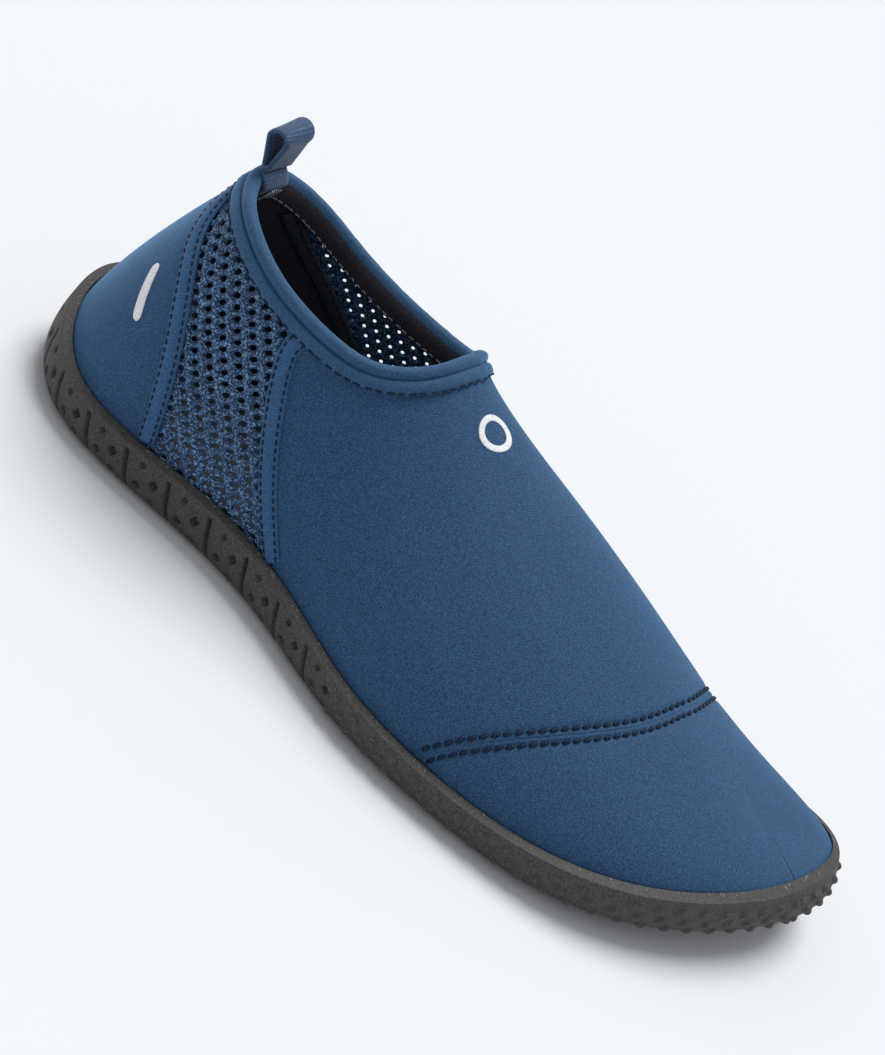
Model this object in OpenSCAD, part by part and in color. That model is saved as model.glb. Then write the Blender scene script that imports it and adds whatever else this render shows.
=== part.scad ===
// Low-cut neoprene water shoe, right foot.
// The shoe stands flat on z = 0, toe towards +X, inner side of the foot towards +Y.
// The upper is one smooth foot-shaped surface. Every panel, tape, seam and band is cut from
// it by its place: "around" runs 0..1 from the back of the heel along the outer side to the
// toe (0.5) and back along the inner side, and "up" runs 0..1 from the sole to the top ridge.

/* [Shoe] */
// Length of the foot bed from heel to toe
foot_l = 281; // [235:1:320]
// Width of the foot bed across the ball of the foot
ball_w = 101; // [85:1:118]
// Height of the upper at the front of the opening
instep_h = 81; // [68:1:98]

/* [Materials] */
// Thickness of the neoprene panels
neoprene_t = 2.6; // [1.8:0.1:3.4]
// Thickness of the mesh panels
mesh_t = 1.6; // [1:0.1:2.2]
// Thickness of the seam tapes
tape_t = 0.7; // [0.4:0.1:1.2]
// Width of the seam tapes
tape_w = 5.6; // [4:0.2:8]
// Gap left between neighbouring layers
layer_gap = 0.2; // [0.1:0.05:0.3]

/* [Sole] */
// Thickness of the rubber under the foot
sole_t = 8; // [5:0.5:11]
// Thickness of the rubber sidewall
wall_t = 3; // [2:0.2:4]
// Outward flare of the sidewall near the ground
flare = 3.4; // [1:0.2:6]
// Rise of the toe above the ground
toe_spring = 12; // [4:1:16]
// Rise of the very back of the heel above the ground
heel_spring = 4; // [0:0.5:6]
// Thickness of the stitched-in board over the rubber
board_t = 1.2; // [0.8:0.2:2]
// Thickness of the loose foam footbed
sockliner_t = 4; // [2:0.5:6]

/* [Opening] */
// Width of the band bound round the opening
band_w = 5.2; // [4:0.2:9]
// Thickness of the band
band_t = 1.3; // [0.8:0.1:2]
// How far the lip turns down inside
lip_depth = 7; // [5:0.5:10]

/* [Pull loop] */
// Width of the webbing
loop_w = 15; // [10:0.5:20]
// Height of the loop above the line it swings about
loop_h = 15; // [13:0.5:30]
// Thickness of the webbing
loop_t = 1.6; // [1:0.1:2.4]
// Clear width of the eye of the loop
loop_eye = 6.2; // [5:0.1:8]
// Distance of the loop from the middle of the heel, toward the outer side
loop_shift = 4; // [-6:0.5:6]

/* [Stitching] */
// Length of one stitch across the toe
stitch_l = 3; // [2:0.2:5]
// Diameter of the toe thread
thread_d = 1.1; // [0.6:0.1:1.6]
// Distance between the two rows across the toe
row_gap = 3.4; // [2.6:0.2:5]

/* [Marks] */
// Length of the plain bar on the heel
heel_bar_l = 17; // [10:1:22]
// Diameter of the plain ring on the instep
vamp_ring_d = 11; // [8:0.5:16]

/* [Hidden] */

blue = [0.13, 0.26, 0.42];
deep_blue = [0.09, 0.18, 0.32];
tape_blue = [0.12, 0.27, 0.47];
navy = [0.05, 0.09, 0.17];
rubber = [0.19, 0.19, 0.20];
black = [0.05, 0.05, 0.06];
white = [0.92, 0.93, 0.94];

// Sixteen places round the edge of the foot bed. Each gives its x as a share of the length,
// its y as a share of the ball width, the outward bulge of the wall (mm), how upright the
// wall leaves the sole, how flat it meets the ridge, and how far the sole's rim rises above
// the foot bed (mm).
rounds = [
    [-0.020, 0.010, -0.4, 0.21, 0.31, 13],
    [0.037, -0.322, 0.3, 0.28, 0.33, 7.5],
    [0.135, -0.436, 1.6, 0.38, 0.40, 5],
    [0.276, -0.379, 2.5, 0.43, 0.48, 8],
    [0.390, -0.401, 3.3, 0.48, 0.54, 6.5],
    [0.514, -0.545, 3.5, 0.51, 0.56, 3],
    [0.664, -0.518, 2.7, 0.50, 0.55, 2.5],
    [0.833, -0.420, 1.8, 0.48, 0.55, 6.5],
    [0.982, 0.101, 1.8, 0.49, 0.55, 8.5],
    [0.982, 0.482, 2.4, 0.52, 0.56, 6],
    [0.847, 0.487, 2.4, 0.51, 0.56, 4.5],
    [0.680, 0.465, 3, 0.51, 0.56, 4.5],
    [0.528, 0.351, 3.2, 0.51, 0.56, 6],
    [0.390, 0.290, 3, 0.49, 0.53, 8],
    [0.249, 0.311, 1.9, 0.42, 0.46, 9],
    [0.101, 0.341, 0.7, 0.31, 0.38, 11]
];

// The top ridge from above the heel, down over the instep, to the toe: x and y as shares of
// length and ball width, z as a share of the instep height.
ridge = [
    [0.196, 0.017, 1.457],
    [0.221, 0.022, 1.469],
    [0.302, 0.023, 1.247],
    [0.368, 0.022, 0.938],
    [0.534, 0.053, 0.805],
    [0.669, 0.079, 0.649],
    [0.769, 0.089, 0.498],
    [0.865, 0.101, 0.391]
];

// Edge of the opening, from the back of the heel to the middle of the instep, as [around, up].
collar_outer = [[0, 0.572], [0.055, 0.560], [0.105, 0.505], [0.148, 0.460],
                [0.188, 0.505], [0.211, 0.610], [0.224, 0.790], [0.222, 1]];
collar_inner = [[0, 0.572], [0.050, 0.530], [0.094, 0.430], [0.134, 0.418],
                [0.168, 0.482], [0.188, 0.590], [0.205, 0.780], [0.222, 1]];

// Seams, from the sole up, as [around, up]. The first three end on the collar.
rear_seam_outer = [[0.152, 0.012], [0.147, 0.110], [0.137, 0.210],
                   [0.121, 0.300], [0.096, 0.380], [0.066, 0.440]];
rear_seam_inner = [[0.152, 0.012], [0.146, 0.100], [0.136, 0.180],
                   [0.120, 0.250], [0.098, 0.310], [0.074, 0.370]];
front_seam = [[0.249, 0.012], [0.233, 0.100], [0.215, 0.180],
              [0.198, 0.260], [0.183, 0.340], [0.170, 0.420]];
toe_seam_outer = [[0.346, 0.012], [0.351, 0.150], [0.357, 0.290], [0.366, 0.460],
                  [0.374, 0.640], [0.377, 0.820], [0.367, 1]];
toe_seam_inner = [[0.335, 0.012], [0.339, 0.150], [0.344, 0.300], [0.349, 0.480],
                  [0.353, 0.650], [0.359, 0.820], [0.367, 1]];
// Shares of the half collar at which the seams meet it, outer and inner side
rear_q = [0.095, 0.120];
front_q = [0.520, 0.580];

// The underside is flat on the ground between these two, and curves up beyond them
bevel_x = 0.11 * foot_l;
flex_x = 0.66 * foot_l;
// Sidewall: height where it is widest, radius of its lower edge, and set-back of the tread
wide_z = 3.6;
edge_r = 1.4;
tread_in = 4.5;
// Gap between the rubber rim and the upper it is glued to
glue_gap = 0.5;

// Sewn edges: thickness of the lip, and drop of the panels below the edge of the opening
lip_t = 1.3;
panel_drop = 2.2;
// Drop of the upper edge of the band, and of its lower edge
band_top = 1.2;
band_end = band_top + band_w;
// How far the mesh lies below the face of the neoprene
mesh_sink = 0.4;
// Short seam stitches: length, distance apart, thread width and height
seam_stitch_l = 2.5;
seam_pitch = 3.4;
seam_thread_w = 0.7;
seam_thread_h = 0.35;
stitch_lift = 0.05;
stitch_gap = 0.7;

// Printed marks: thickness, gap to the neoprene, places and run of the bar
mark_t = 0.25;
mark_lift = 0.1;
heel_spot = [0.089, 0.280];
heel_run = [-0.026, 0.100];
heel_bar_w = 3.2;
vamp_spot = [0.2487, 0.895];
vamp_ring_w = 1.9;

// Pull loop: forward lean, and radius of the slot at its foot
loop_lean = -4;
slot_r = 0.5;

around_n = 96;
collar_n = 72;
up_n = 12;
step = 0.002;

// ---- curves ----
function wrap(i, n) = ((i % n) + n) % n;
function basis(f) = [pow(1 - f, 3) / 6, (3 * pow(f, 3) - 6 * f * f + 4) / 6,
                     (-3 * pow(f, 3) + 3 * f * f + 3 * f + 1) / 6, pow(f, 3) / 6];
function weigh(v, w) = v[0] * w[0] + v[1] * w[1] + v[2] * w[2] + v[3] * w[3];
// Smooth closed curve through the neighbourhood of the values v, at q in 0..1
function ring_at(v, q) =
    let (n = len(v), s = q * n, i = floor(s))
    weigh([for (k = [0:3]) v[wrap(i + k - 1, n)]], basis(s - i));
// Smooth open curve from the first value to the last, led in by the value "before"
function led_line(v, q, before) =
    let (n = len(v) - 1, s = min(max(q, 0), 1) * n, i = min(floor(s), n - 1),
         e = concat([before], v, [2 * v[n] - v[n - 1]]))
    weigh([for (k = [0:3]) e[i + k]], basis(s - i));
function line_at(v, q) = led_line(v, q, 2 * v[0] - v[1]);
function unit(v) = v / max(norm(v), 1e-9);
function mix(a, b, f) = a + (b - a) * f;

// ---- the foot-shaped surface ----
function ground(x) =
    toe_spring * pow(max(0, (x - flex_x) / (0.982 * foot_l - flex_x)), 2)
    + heel_spring * pow(max(0, (bevel_x - x) / bevel_x), 2);
function sized(s) = [s[0] * foot_l, s[1] * ball_w, s[2], s[3], s[4], s[5]];
function round_at(a) = sized(ring_at(rounds, a));
function ridge_at(w) = let (r = line_at(ridge, w)) [r[0] * foot_l, r[1] * ball_w, r[2] * instep_h];
function outward(a) =
    let (p = round_at(a + step), q = round_at(a - step))
    unit([p[1] - q[1], q[0] - p[0]]);
// Share of the ridge reached at a place around
function ridge_share(a) = let (s = 1 - abs(1 - 2 * (a - floor(a)))) pow(sin(90 * s), 2);
function ridge_slope(w) =
    let (p = ridge_at(min(w + step, 1)), q = ridge_at(max(w - step, 0)))
    (p[2] - q[2]) / (p[0] - q[0]);
// Four control points of the line that runs up the wall to the ridge
function meridian(a) =
    let (s = round_at(a), o = outward(a), low = [s[0], s[1], ground(s[0]) + sole_t],
         w = ridge_share(a), top = ridge_at(w), lean = [s[0] - top[0], s[1] - top[1]] * s[4])
    [low,
     low + [o[0] * s[2], o[1] * s[2], s[3] * (top[2] - low[2])],
     top + [lean[0], lean[1], ridge_slope(w) * lean[0]],
     top];
function on_meridian(c, t) =
    let (s = 1 - t) s * s * s * c[0] + 3 * s * s * t * c[1] + 3 * s * t * t * c[2] + t * t * t * c[3];
function along_meridian(c, t) =
    pow(1 - t, 2) * (c[1] - c[0]) + 2 * (1 - t) * t * (c[2] - c[1]) + t * t * (c[3] - c[2]);
// Point, outward normal, and the two directions in the surface, at a place [around, up]
function place(p) =
    let (c = meridian(p[0]), d1 = meridian(p[0] + step), d0 = meridian(p[0] - step),
         t = min(max(p[1], 0), 1), du = (on_meridian(d1, t) - on_meridian(d0, t)) / (2 * step),
         dt = 3 * along_meridian(c, t), s = ridge_slope(ridge_share(p[0])))
    [on_meridian(c, t), t > 0.995 ? unit([-s, 0, 1]) : unit(cross(du, dt)), du, dt];
function raised(p, h) = let (f = place(p)) f[0] + f[1] * h;
// The place reached from p by going dist (mm) in the direction d over the surface
function slid(p, d, dist) =
    let (f = place(p), g = unit(d - f[1] * (d * f[1])), uu = f[2] * f[2], tt = f[3] * f[3],
         ut = f[2] * f[3], det = uu * tt - ut * ut, gu = g * f[2], gt = g * f[3])
    [p[0] + dist * (gu * tt - gt * ut) / det, min(1, p[1] + dist * (gt * uu - gu * ut) / det)];

// ---- seam and collar lines ----
// side is 0 for the outer side of the foot and 1 for the inner side
function sided(p, side) = side == 0 ? p : [1 - p[0], p[1]];
function before_heel(other) = [-other[1][0], other[1][1]];
function half_collar(side, q) =
    side == 0 ? led_line(collar_outer, q, before_heel(collar_inner))
              : sided(led_line(collar_inner, q, before_heel(collar_outer)), 1);
lip_inside = -neoprene_t - layer_gap;

collar_places = [for (k = [0:collar_n - 1])
    let (q = 2 * k / collar_n) q <= 1 ? half_collar(0, q) : half_collar(1, 2 - q)];
collar_frames = [for (p = collar_places) place(p)];
// Directions over the surface, away from the opening
collar_down = [for (k = [0:collar_n - 1])
    let (a = collar_frames[wrap(k + 1, collar_n)][0], b = collar_frames[wrap(k - 1, collar_n)][0])
    unit(cross(a - b, collar_frames[k][1]))];
function below_collar(k, a) = slid(collar_places[k], collar_down[k], a);
// The same for any share q of a half collar
function under_collar(side, q, a) =
    let (s = q * collar_n / 2, i = min(floor(s), collar_n / 2 - 1), f = s - i,
         k = side == 0 ? i : wrap(collar_n - i, collar_n), m = side == 0 ? i + 1 : collar_n - i - 1,
         p = below_collar(k, a), end = below_collar(m, a),
         r = side == 1 && m == collar_n / 2 ? sided(end, 1) : end,
         shift = side == 1 && i == 0 ? [1, 0] : [0, 0])
    mix(p + shift, r, f);

// Places of a seam line, from the sole to the collar
function seam_places(seam, side, n, a = panel_drop) =
    let (points = seam == "front" ? front_seam : side == 0 ? rear_seam_outer : rear_seam_inner,
         q = seam == "front" ? front_q[side] : rear_q[side],
         line = concat([for (p = points) sided(p, side)], [under_collar(side, q, a)]))
    [for (j = [0:n]) line_at(line, j / n)];
function toe_places(side, n) =
    [for (j = [0:n]) side == 0 ? line_at(toe_seam_outer, j / n)
                               : sided(line_at(toe_seam_inner, j / n), 1)];
// Sheet of places between four border lines: first and last along the rows
function between(left, right, low, high) =
    let (n = len(low) - 1, m = len(left) - 1)
    [for (i = [0:n]) [for (j = [0:m])
        let (v = i / n, w = j / m)
        mix(low[i], high[i], w) + mix(left[j], right[j], v)
        - mix(mix(left[0], left[m], w), mix(right[0], right[m], w), v)]];

// ---- solids ----
// Closed solid between two equal grids of points; the first grid is the outside
module sheet(outside, inside, round_trip = false) {
    n = len(outside);
    m = len(outside[0]);
    last = round_trip ? n - 1 : n - 2;
    function at(i, j) = wrap(i, n) * m + j;
    far = n * m;
    skins = [for (i = [0:last], j = [0:m - 2]) each [
        [at(i, j), at(i, j + 1), at(i + 1, j + 1), at(i + 1, j)],
        [far + at(i, j), far + at(i + 1, j), far + at(i + 1, j + 1), far + at(i, j + 1)]]];
    hems = [for (i = [0:last]) each [
        [at(i, 0), at(i + 1, 0), far + at(i + 1, 0), far + at(i, 0)],
        [at(i + 1, m - 1), at(i, m - 1), far + at(i, m - 1), far + at(i + 1, m - 1)]]];
    ends = round_trip ? [] : [for (j = [0:m - 2]) each [
        [at(0, j + 1), at(0, j), far + at(0, j), far + at(0, j + 1)],
        [at(n - 1, j), at(n - 1, j + 1), far + at(n - 1, j + 1), far + at(n - 1, j)]]];
    polyhedron([for (g = [outside, inside]) for (r = g) each r], concat(skins, hems, ends), 6);
}
module skin(places, top, low, round_trip = false) {
    frames = [for (r = places) [for (p = r) place(p)]];
    sheet([for (r = frames) [for (f = r) f[0] + f[1] * top]],
          [for (r = frames) [for (f = r) f[0] + f[1] * low]], round_trip);
}
// Solid swept through a list of equal closed outlines, joined end to start
module loop_sweep(rings) {
    n = len(rings);
    m = len(rings[0]);
    function at(i, j) = wrap(i, n) * m + wrap(j, m);
    polyhedron([for (r = rings) each r],
               [for (i = [0:n - 1], j = [0:m - 1])
                   [at(i, j), at(i, j + 1), at(i + 1, j + 1), at(i + 1, j)]], 6);
}
// Solid through a stack of outlines that go round the foot, closed across its width at both ends
module foot_stack(rings) {
    n = len(rings);
    m = len(rings[0]);
    function at(i, j) = i * m + wrap(j, m);
    walls = [for (i = [0:n - 2], j = [0:m - 1])
        [at(i, j), at(i + 1, j), at(i + 1, j + 1), at(i, j + 1)]];
    caps = [for (j = [0:m / 2 - 1]) each [
        [at(0, j), at(0, j + 1), at(0, m - j - 1), at(0, m - j)],
        [at(n - 1, j), at(n - 1, m - j), at(n - 1, m - j - 1), at(n - 1, j + 1)]]];
    polyhedron([for (r = rings) each r], concat(walls, caps), 6);
}

// ---- sole ----
function rim_up(a) =
    let (c = meridian(a)) min(0.5, max(0.05, round_at(a)[5] / (3 * (c[1][2] - c[0][2]))));
// Point on the sidewall, out from the foot bed's edge, at a height above the ground
function beside(a, out, z) =
    let (c = meridian(a)[0], o = outward(a), x = c[0] + o[0] * out) [x, c[1] + o[1] * out, ground(x) + z];
// Outlines of the sole, from the tread out round the rim and down to the foot bed
sole_levels = [for (k = [0:around_n - 1])
    let (a = k / around_n, up = rim_up(a), o = outward(a), rim = place([a, up]), half = place([a, up / 2]),
         bed = meridian(a)[0], low = beside(a, flare, wide_z),
         high = rim[0] + [o[0], o[1], -0.15] * (wall_t + glue_gap))
    [beside(a, flare - tread_in, 0),
     beside(a, flare - edge_r, edge_r * 0.65),
     low,
     mix(low, high, 0.5) + [o[0], o[1], 0] * wall_t * 0.2,
     high,
     rim[0] + rim[1] * glue_gap,
     half[0] + half[1] * glue_gap,
     [bed[0] + o[0] * glue_gap, bed[1] + o[1] * glue_gap, bed[2] - layer_gap]]];
sole_xs = [for (p = sole_levels) p[2][0]];
sole_ys = [for (p = sole_levels) p[2][1]];
// Middle of the shoe's box, put over the origin
centre = [(max(sole_xs) + min(sole_xs)) / 2, (max(sole_ys) + min(sole_ys)) / 2, 0];

module seated() translate(-centre) children();

module outsole() color(rubber) seated()
    foot_stack([for (i = [0:len(sole_levels[0]) - 1]) [for (p = sole_levels) p[i]]]);

// ---- under the foot ----
// Edge of a flat layer over the foot bed, inset from the upper, with toe_room more at the low toe
function bed_edge(inset, z, toe_room) =
    [for (k = [0:around_n - 1])
        let (a = k / around_n, c = meridian(a)[0], o = outward(a),
             f = min(1, max(0, (c[0] / foot_l - 0.78) / 0.2)), d = inset + toe_room * f * f * (3 - 2 * f))
        [c[0] - o[0] * d, c[1] - o[1] * d, c[2] + z]];
board_top = layer_gap + board_t;
module strobel_board() color(black) seated()
    foot_stack([bed_edge(neoprene_t + 0.6, layer_gap, 3),
                bed_edge(neoprene_t + 0.6, board_top, 3 + 2 * board_t)]);
module sockliner() color(deep_blue) seated()
    foot_stack([bed_edge(neoprene_t + 1.2, board_top + layer_gap, 8),
                bed_edge(neoprene_t + 1.6, board_top + layer_gap + sockliner_t, 8 + 2 * sockliner_t)]);

// ---- upper panels ----
module heel_panel() color(blue) seated() {
    outer = seam_places("rear", 0, up_n);
    inner = [for (p = seam_places("rear", 1, up_n)) p - [1, 0]];
    n = 20;
    low = [for (i = [0:n]) mix(inner[0], outer[0], i / n)];
    high = [for (i = [0:n]) let (q = mix(-rear_q[1], rear_q[0], i / n))
        q < 0 ? under_collar(1, -q, panel_drop) - [1, 0] : under_collar(0, q, panel_drop)];
    skin(between(inner, outer, low, high), 0, -neoprene_t);
}
module mesh_panel(side) {
    rear = seam_places("rear", side, up_n);
    front = seam_places("front", side, up_n);
    n = 12;
    low = [for (i = [0:n]) mix(rear[0], front[0], i / n)];
    high = [for (i = [0:n]) under_collar(side, mix(rear_q[side], front_q[side], i / n), panel_drop)];
    places = between(rear, front, low, high);
    if (side == 0) skin(places, -mesh_sink, -mesh_sink - mesh_t);
    else skin([for (i = [n:-1:0]) places[i]], -mesh_sink, -mesh_sink - mesh_t);
}
module mesh_lateral() color(blue) seated() mesh_panel(0);
module mesh_medial() color(blue) seated() mesh_panel(1);

// Back border of the instep panel on one side: up the front seam, then along the opening
function instep_border(side) =
    concat(seam_places("front", side, up_n),
           [for (j = [1:up_n]) under_collar(side, mix(front_q[side], 1, j / up_n), panel_drop)]);
module vamp_panel() color(blue) seated() {
    n = 14;
    m = 2 * up_n;
    half = [for (side = [0, 1]) [for (i = [0:n]) let (f = toe_places(side, m), b = instep_border(side))
        [for (j = [0:m]) mix(b[j], f[j], i / n)]]];
    skin([for (i = [0:n]) concat(half[0][i], [for (j = [m - 1:-1:0]) half[1][i][j]])], 0, -neoprene_t);
}
module toe_panel() color(blue) seated() {
    m = 2 * up_n;
    n = 8;
    outer = toe_places(0, m);
    inner = toe_places(1, m);
    rim_n = 36;
    border = concat([for (j = [m:-1:1]) outer[j]],
                    [for (i = [0:rim_n]) mix(outer[0], inner[0], i / rim_n)],
                    [for (j = [1:m - 1]) inner[j]]);
    skin([for (p = border) [for (i = [0:n]) mix(p, [0.5, 1], pow(i / n, 1.3))]], 0, -neoprene_t, true);
}

// ---- tapes and threads ----
// First share of a seam line that is clear of the sole's rim
function clear_of_rim(line, n) =
    min([for (j = [0:n]) if (line[j][1] > rim_up(line[j][0]) + 0.022) j]);
function tape_line(seam, side) =
    let (n = 48, top = band_end + layer_gap + tape_w / 2,
         line = seam_places(seam, side, n, top), first = clear_of_rim(line, n))
    [for (j = [first:n]) line[j]];
// Direction along a list of places at item j
function heading(points, j) =
    let (n = len(points) - 1) unit(points[min(j + 1, n)] - points[max(j - 1, 0)]);
// Places beside a line, dist to its right-hand side when walking it and looking from outside
function beside_line(line, dist) =
    let (f = [for (p = line) place(p)], pts = [for (g = f) g[0]])
    [for (j = [0:len(line) - 1]) slid(line[j], cross(heading(pts, j), f[j][1]), dist)];
module tape(seam, side) {
    line = tape_line(seam, side);
    edges = [for (s = [-1:0.5:1]) beside_line(line, s * tape_w / 2)];
    skin(edges, layer_gap + tape_t, layer_gap);
}
module tape_rear_lateral() color(tape_blue) seated() tape("rear", 0);
module tape_front_lateral() color(tape_blue) seated() tape("front", 0);
module tape_rear_medial() color(tape_blue) seated() tape("rear", 1);
module tape_front_medial() color(tape_blue) seated() tape("front", 1);

// Places at even distances along a line of places
function even(line, pitch) =
    let (pts = [for (p = line) place(p)[0]], n = len(line) - 1,
         run = [for (i = 0, d = 0; i <= n; i = i + 1, d = d + (i <= n ? norm(pts[i] - pts[i - 1]) : 0)) d],
         count = max(1, round(run[n] / pitch)),
         a = [for (i = [0:n]) [run[i], line[i][0]]], b = [for (i = [0:n]) [run[i], line[i][1]]])
    [for (k = [0:count - 1]) let (s = (k + 0.5) * run[n] / count) [lookup(s, a), lookup(s, b)]];
// One stitch: a small bar with drawn-in ends, lying on the surface along the direction d
module stitch(p, d, length, width, height, lift) {
    f = place(p);
    g = unit(d - f[1] * (d * f[1]));
    w = cross(f[1], g);
    c = f[0] + f[1] * lift;
    function end_points(s) = [for (v = [[-1, 0], [-0.5, 1], [0.5, 1], [1, 0]])
        c + g * (s * length * (v[1] == 0 ? 0.5 : 0.34)) + w * (v[0] * width / 2) + f[1] * (v[1] * height)];
    loft_bar(concat([end_points(-1)], [end_points(1)]));
}
module loft_bar(rings) {
    m = len(rings[0]);
    walls = [for (j = [0:m - 1]) [j, wrap(j + 1, m), m + wrap(j + 1, m), m + j]];
    ends = [[for (j = [m - 1:-1:0]) j], [for (j = [0:m - 1]) m + j]];
    polyhedron(concat(rings[0], rings[1]), concat(walls, ends), 6);
}
module stitches(line, pitch, length, width, height, lift) {
    places = even(line, pitch);
    pts = [for (p = places) place(p)[0]];
    for (j = [0:len(places) - 1]) stitch(places[j], heading(pts, j), length, width, height, lift);
}
// Stitches across the toe on both sides of the ridge, dist forward of the seam
module toe_row(dist) {
    for (side = [0, 1]) {
        line = [for (p = toe_places(side, 40)) if (p[1] > rim_up(p[0]) + 0.02) p];
        row = beside_line(line, side == 0 ? dist : -dist);
        stitches([for (p = row) if (p[1] < 0.999) p], stitch_l + stitch_gap, stitch_l,
                 thread_d, thread_d / 2, 2 * stitch_lift);
    }
}
module toe_seam_rear() color(navy) seated() toe_row(-row_gap / 2);
module toe_seam_front() color(navy) seated() toe_row(row_gap / 2);
module tape_stitches() color(navy) seated()
    for (side = [0, 1], seam = ["rear", "front"], s = [-1, 1])
        stitches(beside_line(tape_line(seam, side), s * (tape_w / 2 - 0.9)),
                 seam_pitch, seam_stitch_l, seam_thread_w, seam_thread_h,
                 layer_gap + tape_t + stitch_lift);

// ---- collar ----
// Outline of a band at collar station k, from [below the edge, outwards] pairs
function collar_ring(k, outline) = [for (p = outline) raised(below_collar(k, p[0]), p[1])];
module collar_sweep(outline) loop_sweep([for (k = [0:collar_n - 1]) collar_ring(k, outline)]);
module collar_band() color(blue) seated() {
    low = 2 * layer_gap;
    collar_sweep([[band_top, low], [band_top + 0.3, low + band_t * 0.8], [band_top + 1.2, low + band_t],
                  [band_end - 0.8, low + band_t], [band_end, low + band_t * 0.7], [band_end, low],
                  [mix(band_top, band_end, 0.5), low]]);
}
module collar_lip() color(blue) seated()
    collar_sweep([[panel_drop - 0.3, lip_inside - 0.1], [lip_depth, lip_inside],
                  [lip_depth, lip_inside - lip_t], [1.5, lip_inside - lip_t], [0, -neoprene_t - 0.5],
                  [-0.8, -neoprene_t + 0.6], [-0.8, -0.7], [-0.2, 0.2], [0.9, 0.7], [0.9, -0.6],
                  [panel_drop - 0.9, -neoprene_t + 0.4]]);
module collar_stitches() color(navy) seated()
    stitches([for (k = [0:collar_n]) let (p = below_collar(wrap(k, collar_n), band_end - 1.4))
              k > collar_n / 2 && p[0] < 0.5 ? p + [1, 0] : p],
             seam_pitch, seam_stitch_l, seam_thread_w, seam_thread_h,
             2 * layer_gap + band_t + stitch_lift);

// ---- pull loop ----
// Place at the back of the heel, across mm from the loop to the outer side, down mm below the opening
function heel_place(across, down) =
    slid(slid([0, collar_places[0][1]], [0, -1, 0], loop_shift + across), collar_down[0], down);
heel_top = raised(heel_place(0, -0.8), -1.2);
loop_axis = [heel_top[0], heel_top[1], heel_top[2] + loop_t + 0.8];
loop_r = loop_eye / 2 + loop_t;
// Rolled fold at the foot of the loop, round the line it swings about
fold_r = loop_t + 0.1;
module pull_loop() color(blue) seated()
    translate(loop_axis) rotate([0, loop_lean, 0]) rotate([90, 0, 0]) {
        cylinder(r = fold_r, h = loop_w, center = true, $fn = 48);
        linear_extrude(height = loop_w, center = true)
            difference() {
                hull() {
                    circle(r = loop_t, $fn = 24);
                    translate([0, loop_h - loop_r]) circle(r = loop_r, $fn = 40);
                }
                hull() {
                    translate([0, loop_h * 0.3]) circle(r = slot_r, $fn = 16);
                    translate([0, loop_h - loop_r]) circle(r = loop_eye / 2, $fn = 36);
                }
            }
    }
anchor_face = lip_inside - lip_t - layer_gap;
module loop_anchor() color(blue) seated()
    skin([for (i = [0:6]) [for (j = [4:-1:0])
             heel_place(loop_w * (i / 6 - 0.5), mix(1.5, lip_depth + 3, j / 4))]],
         anchor_face, anchor_face - loop_t);
module loop_bartack() color(white) seated()
    for (down = [0.55, 1] * lip_depth)
        stitches([for (s = [-0.42:0.105:0.43]) heel_place(s * loop_w, down)],
                 seam_stitch_l * 0.64, seam_stitch_l * 0.52, seam_thread_w, seam_thread_h,
                 anchor_face - loop_t - seam_thread_h - stitch_lift);

// ---- plain marks ----
module heel_mark() color(white) seated() {
    f = place(heel_spot);
    along = unit(f[2] * heel_run[0] + f[3] * heel_run[1]);
    n = 8;
    skin([for (i = [0:n])
             let (s = 2 * i / n - 1, half = heel_bar_w / 2 * sqrt(max(0.12, 1 - pow(s, 6))),
                  p = slid(heel_spot, along, s * heel_bar_l / 2))
             [for (j = [-1:1]) slid(p, cross(f[1], along), j * half)]],
         mark_lift + mark_t, mark_lift);
}
// Point round a spot on the surface, at the share q of the full turn
function round_spot(c, q, r, h) =
    let (f = place(c), a = unit(f[2]), b = cross(f[1], a))
    raised(slid(c, a * cos(360 * q) + b * sin(360 * q), r), h);
module vamp_mark() color(white) seated() {
    n = 32;
    outer = vamp_ring_d / 2;
    inner = outer - vamp_ring_w;
    face = mark_lift + mark_t;
    corners = [[outer, mark_lift], [outer, face], [inner, face], [inner, mark_lift]];
    loop_sweep([for (k = [0:n - 1]) [for (c = corners) round_spot(vamp_spot, k / n, c[0], c[1])]]);
}

outsole();
strobel_board();
sockliner();
heel_panel();
vamp_panel();
toe_panel();
mesh_lateral();
mesh_medial();
tape_rear_lateral();
tape_front_lateral();
tape_rear_medial();
tape_front_medial();
collar_band();
collar_lip();
loop_anchor();
pull_loop();
loop_bartack();
toe_seam_rear();
toe_seam_front();
collar_stitches();
tape_stitches();
heel_mark();
vamp_mark();
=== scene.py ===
"""Low-cut neoprene water shoe, right foot, in metres and in the part's frame.

The CAD solids are plain. Here every visible piece is made again in fine mesh on the same
foot-shaped surface: knitted neoprene panels, open air mesh with real holes, taped and stitched
seams, a bound and rolled collar, webbing, and a moulded sole with slits, dimples and nubs.
Only the board under the footbed keeps its CAD solid.
"""
import math

import bpy
import bmesh
import numpy as np
from mathutils import Matrix, Vector


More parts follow.
